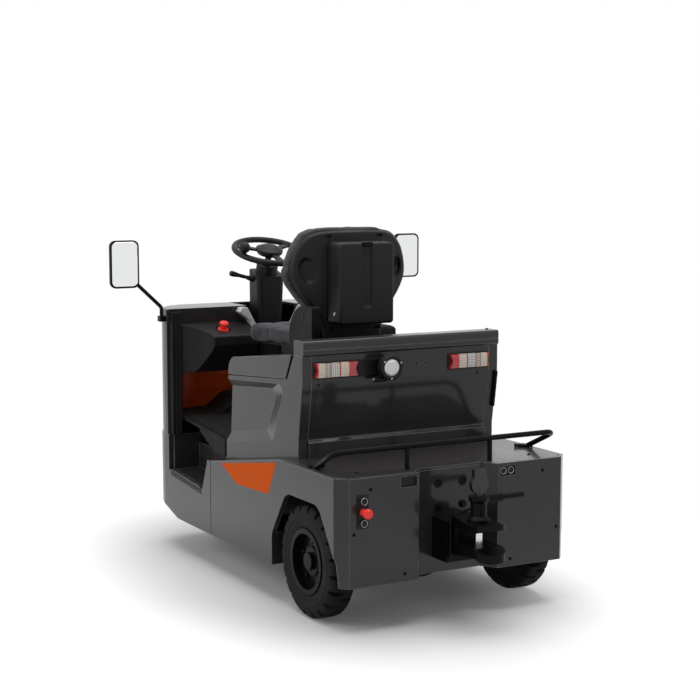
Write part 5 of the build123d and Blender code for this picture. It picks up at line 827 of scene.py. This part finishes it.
def swollen(node, name, shrink, cap, channels, winged):
    """Draws a soft solid's net in along its normals, fits a winged one to its shell and swells it; then
    presses sewn channels in, each a smooth dip round a plane (axis, place, half width, depth)."""
    made = even_net(node, name)
    points = rows_of(made, "co") - shrink * rows_of(made, "normal")
    if winged:
        fit_to_shell(points)
    made.data.vertices.foreach_set("co", points.ravel())
    points = foam_pressure(made, points, cap)
    made.data.vertices.foreach_set("co", points.ravel())
    made.data.update()
    facing = rows_of(made, "normal")
    for axis, at, width, depth in channels:
        away = np.abs(np.abs(points[:, axis]) - at) if axis == 1 else np.abs(points[:, axis] - at)
        points = points - depth * eased(np.clip(1 - away / width, 0, 1))[:, None] * facing
    made.data.vertices.foreach_set("co", points.ravel())
    made.data.polygons.foreach_set("use_smooth", np.ones(len(made.data.polygons), bool))
    made.data.materials.clear()
    made.data.materials.append(seat_cloth)
    even = made.modifiers.new("even", "SMOOTH")
    even.factor = 0.5
    even.iterations = 22
    finer = made.modifiers.new("finer", "SUBSURF")
    finer.levels = 1
    finer.render_levels = 1
    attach(made, "hood")
    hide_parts(node)


swollen("seat_cushion", "seat_cushion_cover", 0.004, 0.010,
        [(1, 0.150, 0.012, 0.007), (0, 0.335, 0.012, 0.006)], False)
swollen("seat_back_pad", "backrest_cover", 0.0, 0.008,
        [(1, 0.140, 0.012, 0.008), (2, 1.260, 0.012, 0.007)], True)


# Studio: a wide pale floor under soft light from the left and above. The object stands in its own soft
# shadow, and the floor and sky are plain white to the eye and in reflections.
def plainly_seen(tree):
    """One for rays from the camera, from mirrors and through glass; nought for rays that carry light."""
    share = add(tree, "LightPath", {}, out="Is Camera Ray")
    for ray in ("Is Glossy Ray", "Is Transmission Ray"):
        share = add(tree, "Math", {0: share, 1: add(tree, "LightPath", {}, out=ray)}, operation="MAXIMUM")
    return share


floor_reach, floor_level = 30, -0.0005
floor_mesh = bpy.data.meshes.new("studio_floor")
floor_mesh.from_pydata([(floor_reach * x, floor_reach * y, floor_level)
                        for x, y in ((-1, -1), (1, -1), (1, 1), (-1, 1))], [], [(0, 1, 2, 3)])
floor = bpy.data.objects.new("studio_floor", floor_mesh)
bpy.context.scene.collection.objects.link(floor)
pale_floor, tree, place = open_finish("pale studio floor")
shown = plainly_seen(tree)
# The floor's white lifts with distance, so that the object's own shadow stays dark close to it. The weaker
# glow in an ellipse round the object, centred a little forward and to the left, is painted shadow: the
# floor there is grey even where it is lit.
shade_middle, shade_long, shade_wide = (0.05, 0.18, 0.0), 1.05, 0.62
moved = add(tree, "VectorMath", {0: place, 1: shade_middle}, operation="SUBTRACT")
scaled = add(tree, "VectorMath", {0: moved, 1: (1 / shade_long, 1 / shade_wide, 0.0)}, operation="MULTIPLY")
away = add(tree, "VectorMath", {0: scaled}, out="Value", operation="LENGTH")
painted_shadow_glow = add(tree, "MapRange", {"Value": away, "From Min": 0.7, "From Max": 1.8, "To Min": 0.05, "To Max": 0.5},
           interpolation_type="SMOOTHSTEP")
far = add(tree, "MapRange", {"Value": away, "From Min": 1.8, "From Max": 3.6},
          interpolation_type="SMOOTHSTEP")
lift = add(tree, "Math", {0: shown, 1: painted_shadow_glow}, operation="MULTIPLY")
matt = add(tree, "BsdfDiffuse", {"Color": linear("#ececec")})
glow = add(tree, "Emission", {"Color": linear("#ffffff"), "Strength": lift})
lit = add(tree, "AddShader", {0: matt, 1: glow})
white = add(tree, "Emission", {"Color": linear("#ffffff"), "Strength": 1.0})
share = add(tree, "Math", {0: shown, 1: far}, operation="MULTIPLY")
add(tree, "OutputMaterial", {"Surface": add(tree, "MixShader", {0: share, 1: lit, 2: white})})
floor_mesh.materials.append(pale_floor)

world = bpy.data.worlds.new("studio")
world.use_nodes = True
tree = world.node_tree
tree.nodes.clear()
shown = plainly_seen(tree)
room = add(tree, "Background", {"Color": linear("#ffffff"), "Strength": 0.22})
white = add(tree, "Background", {"Color": linear("#ffffff"), "Strength": 1.0})
add(tree, "OutputWorld", {"Surface": add(tree, "MixShader", {0: shown, 1: room, 2: white})})
bpy.context.scene.world = world


def soft_lamp(name, place, aim, width, height, watts):
    """Rectangular soft lamp at a place, turned towards the point it aims at."""
    data = bpy.data.lights.new(name, "AREA")
    data.shape = "RECTANGLE"
    data.size, data.size_y = width, height
    data.energy = watts
    lamp = bpy.data.objects.new(name, data)
    away = np.array(place) - np.array(aim)
    away = away / np.linalg.norm(away)
    lamp.location = place
    lamp.rotation_euler = (math.acos(away[2]), 0.0, math.atan2(away[1], away[0]) + math.pi / 2)
    bpy.context.scene.collection.objects.link(lamp)


soft_lamp("left_key", (1.4, 5.2, 3.2), (0.0, 0.2, 0.6), 4.0, 3.0, 90.0)
soft_lamp("overhead", (0.0, 0.0, 5.5), (0.0, 0.0, 0.5), 5.0, 5.0, 205.0)
soft_lamp("rear_fill", (-5.0, -2.5, 3.0), (0.0, 0.0, 0.6), 3.0, 2.0, 16.0)

# The camera stands off the left rear corner at about eye height, with a long lens.
view_camera = bpy.data.cameras.new("view_camera")
view_camera.sensor_width = 36.0
view_camera.lens = 82.2
view_camera.clip_end = 100.0
camera = bpy.data.objects.new("view_camera", view_camera)
camera.location = (-5.5814, 3.1350, 1.6756)
camera.rotation_euler = (math.radians(83.283), 0.0, math.radians(-119.037))
bpy.context.scene.collection.objects.link(camera)
bpy.context.scene.camera = camera
bpy.context.scene.view_settings.view_transform = "Standard"
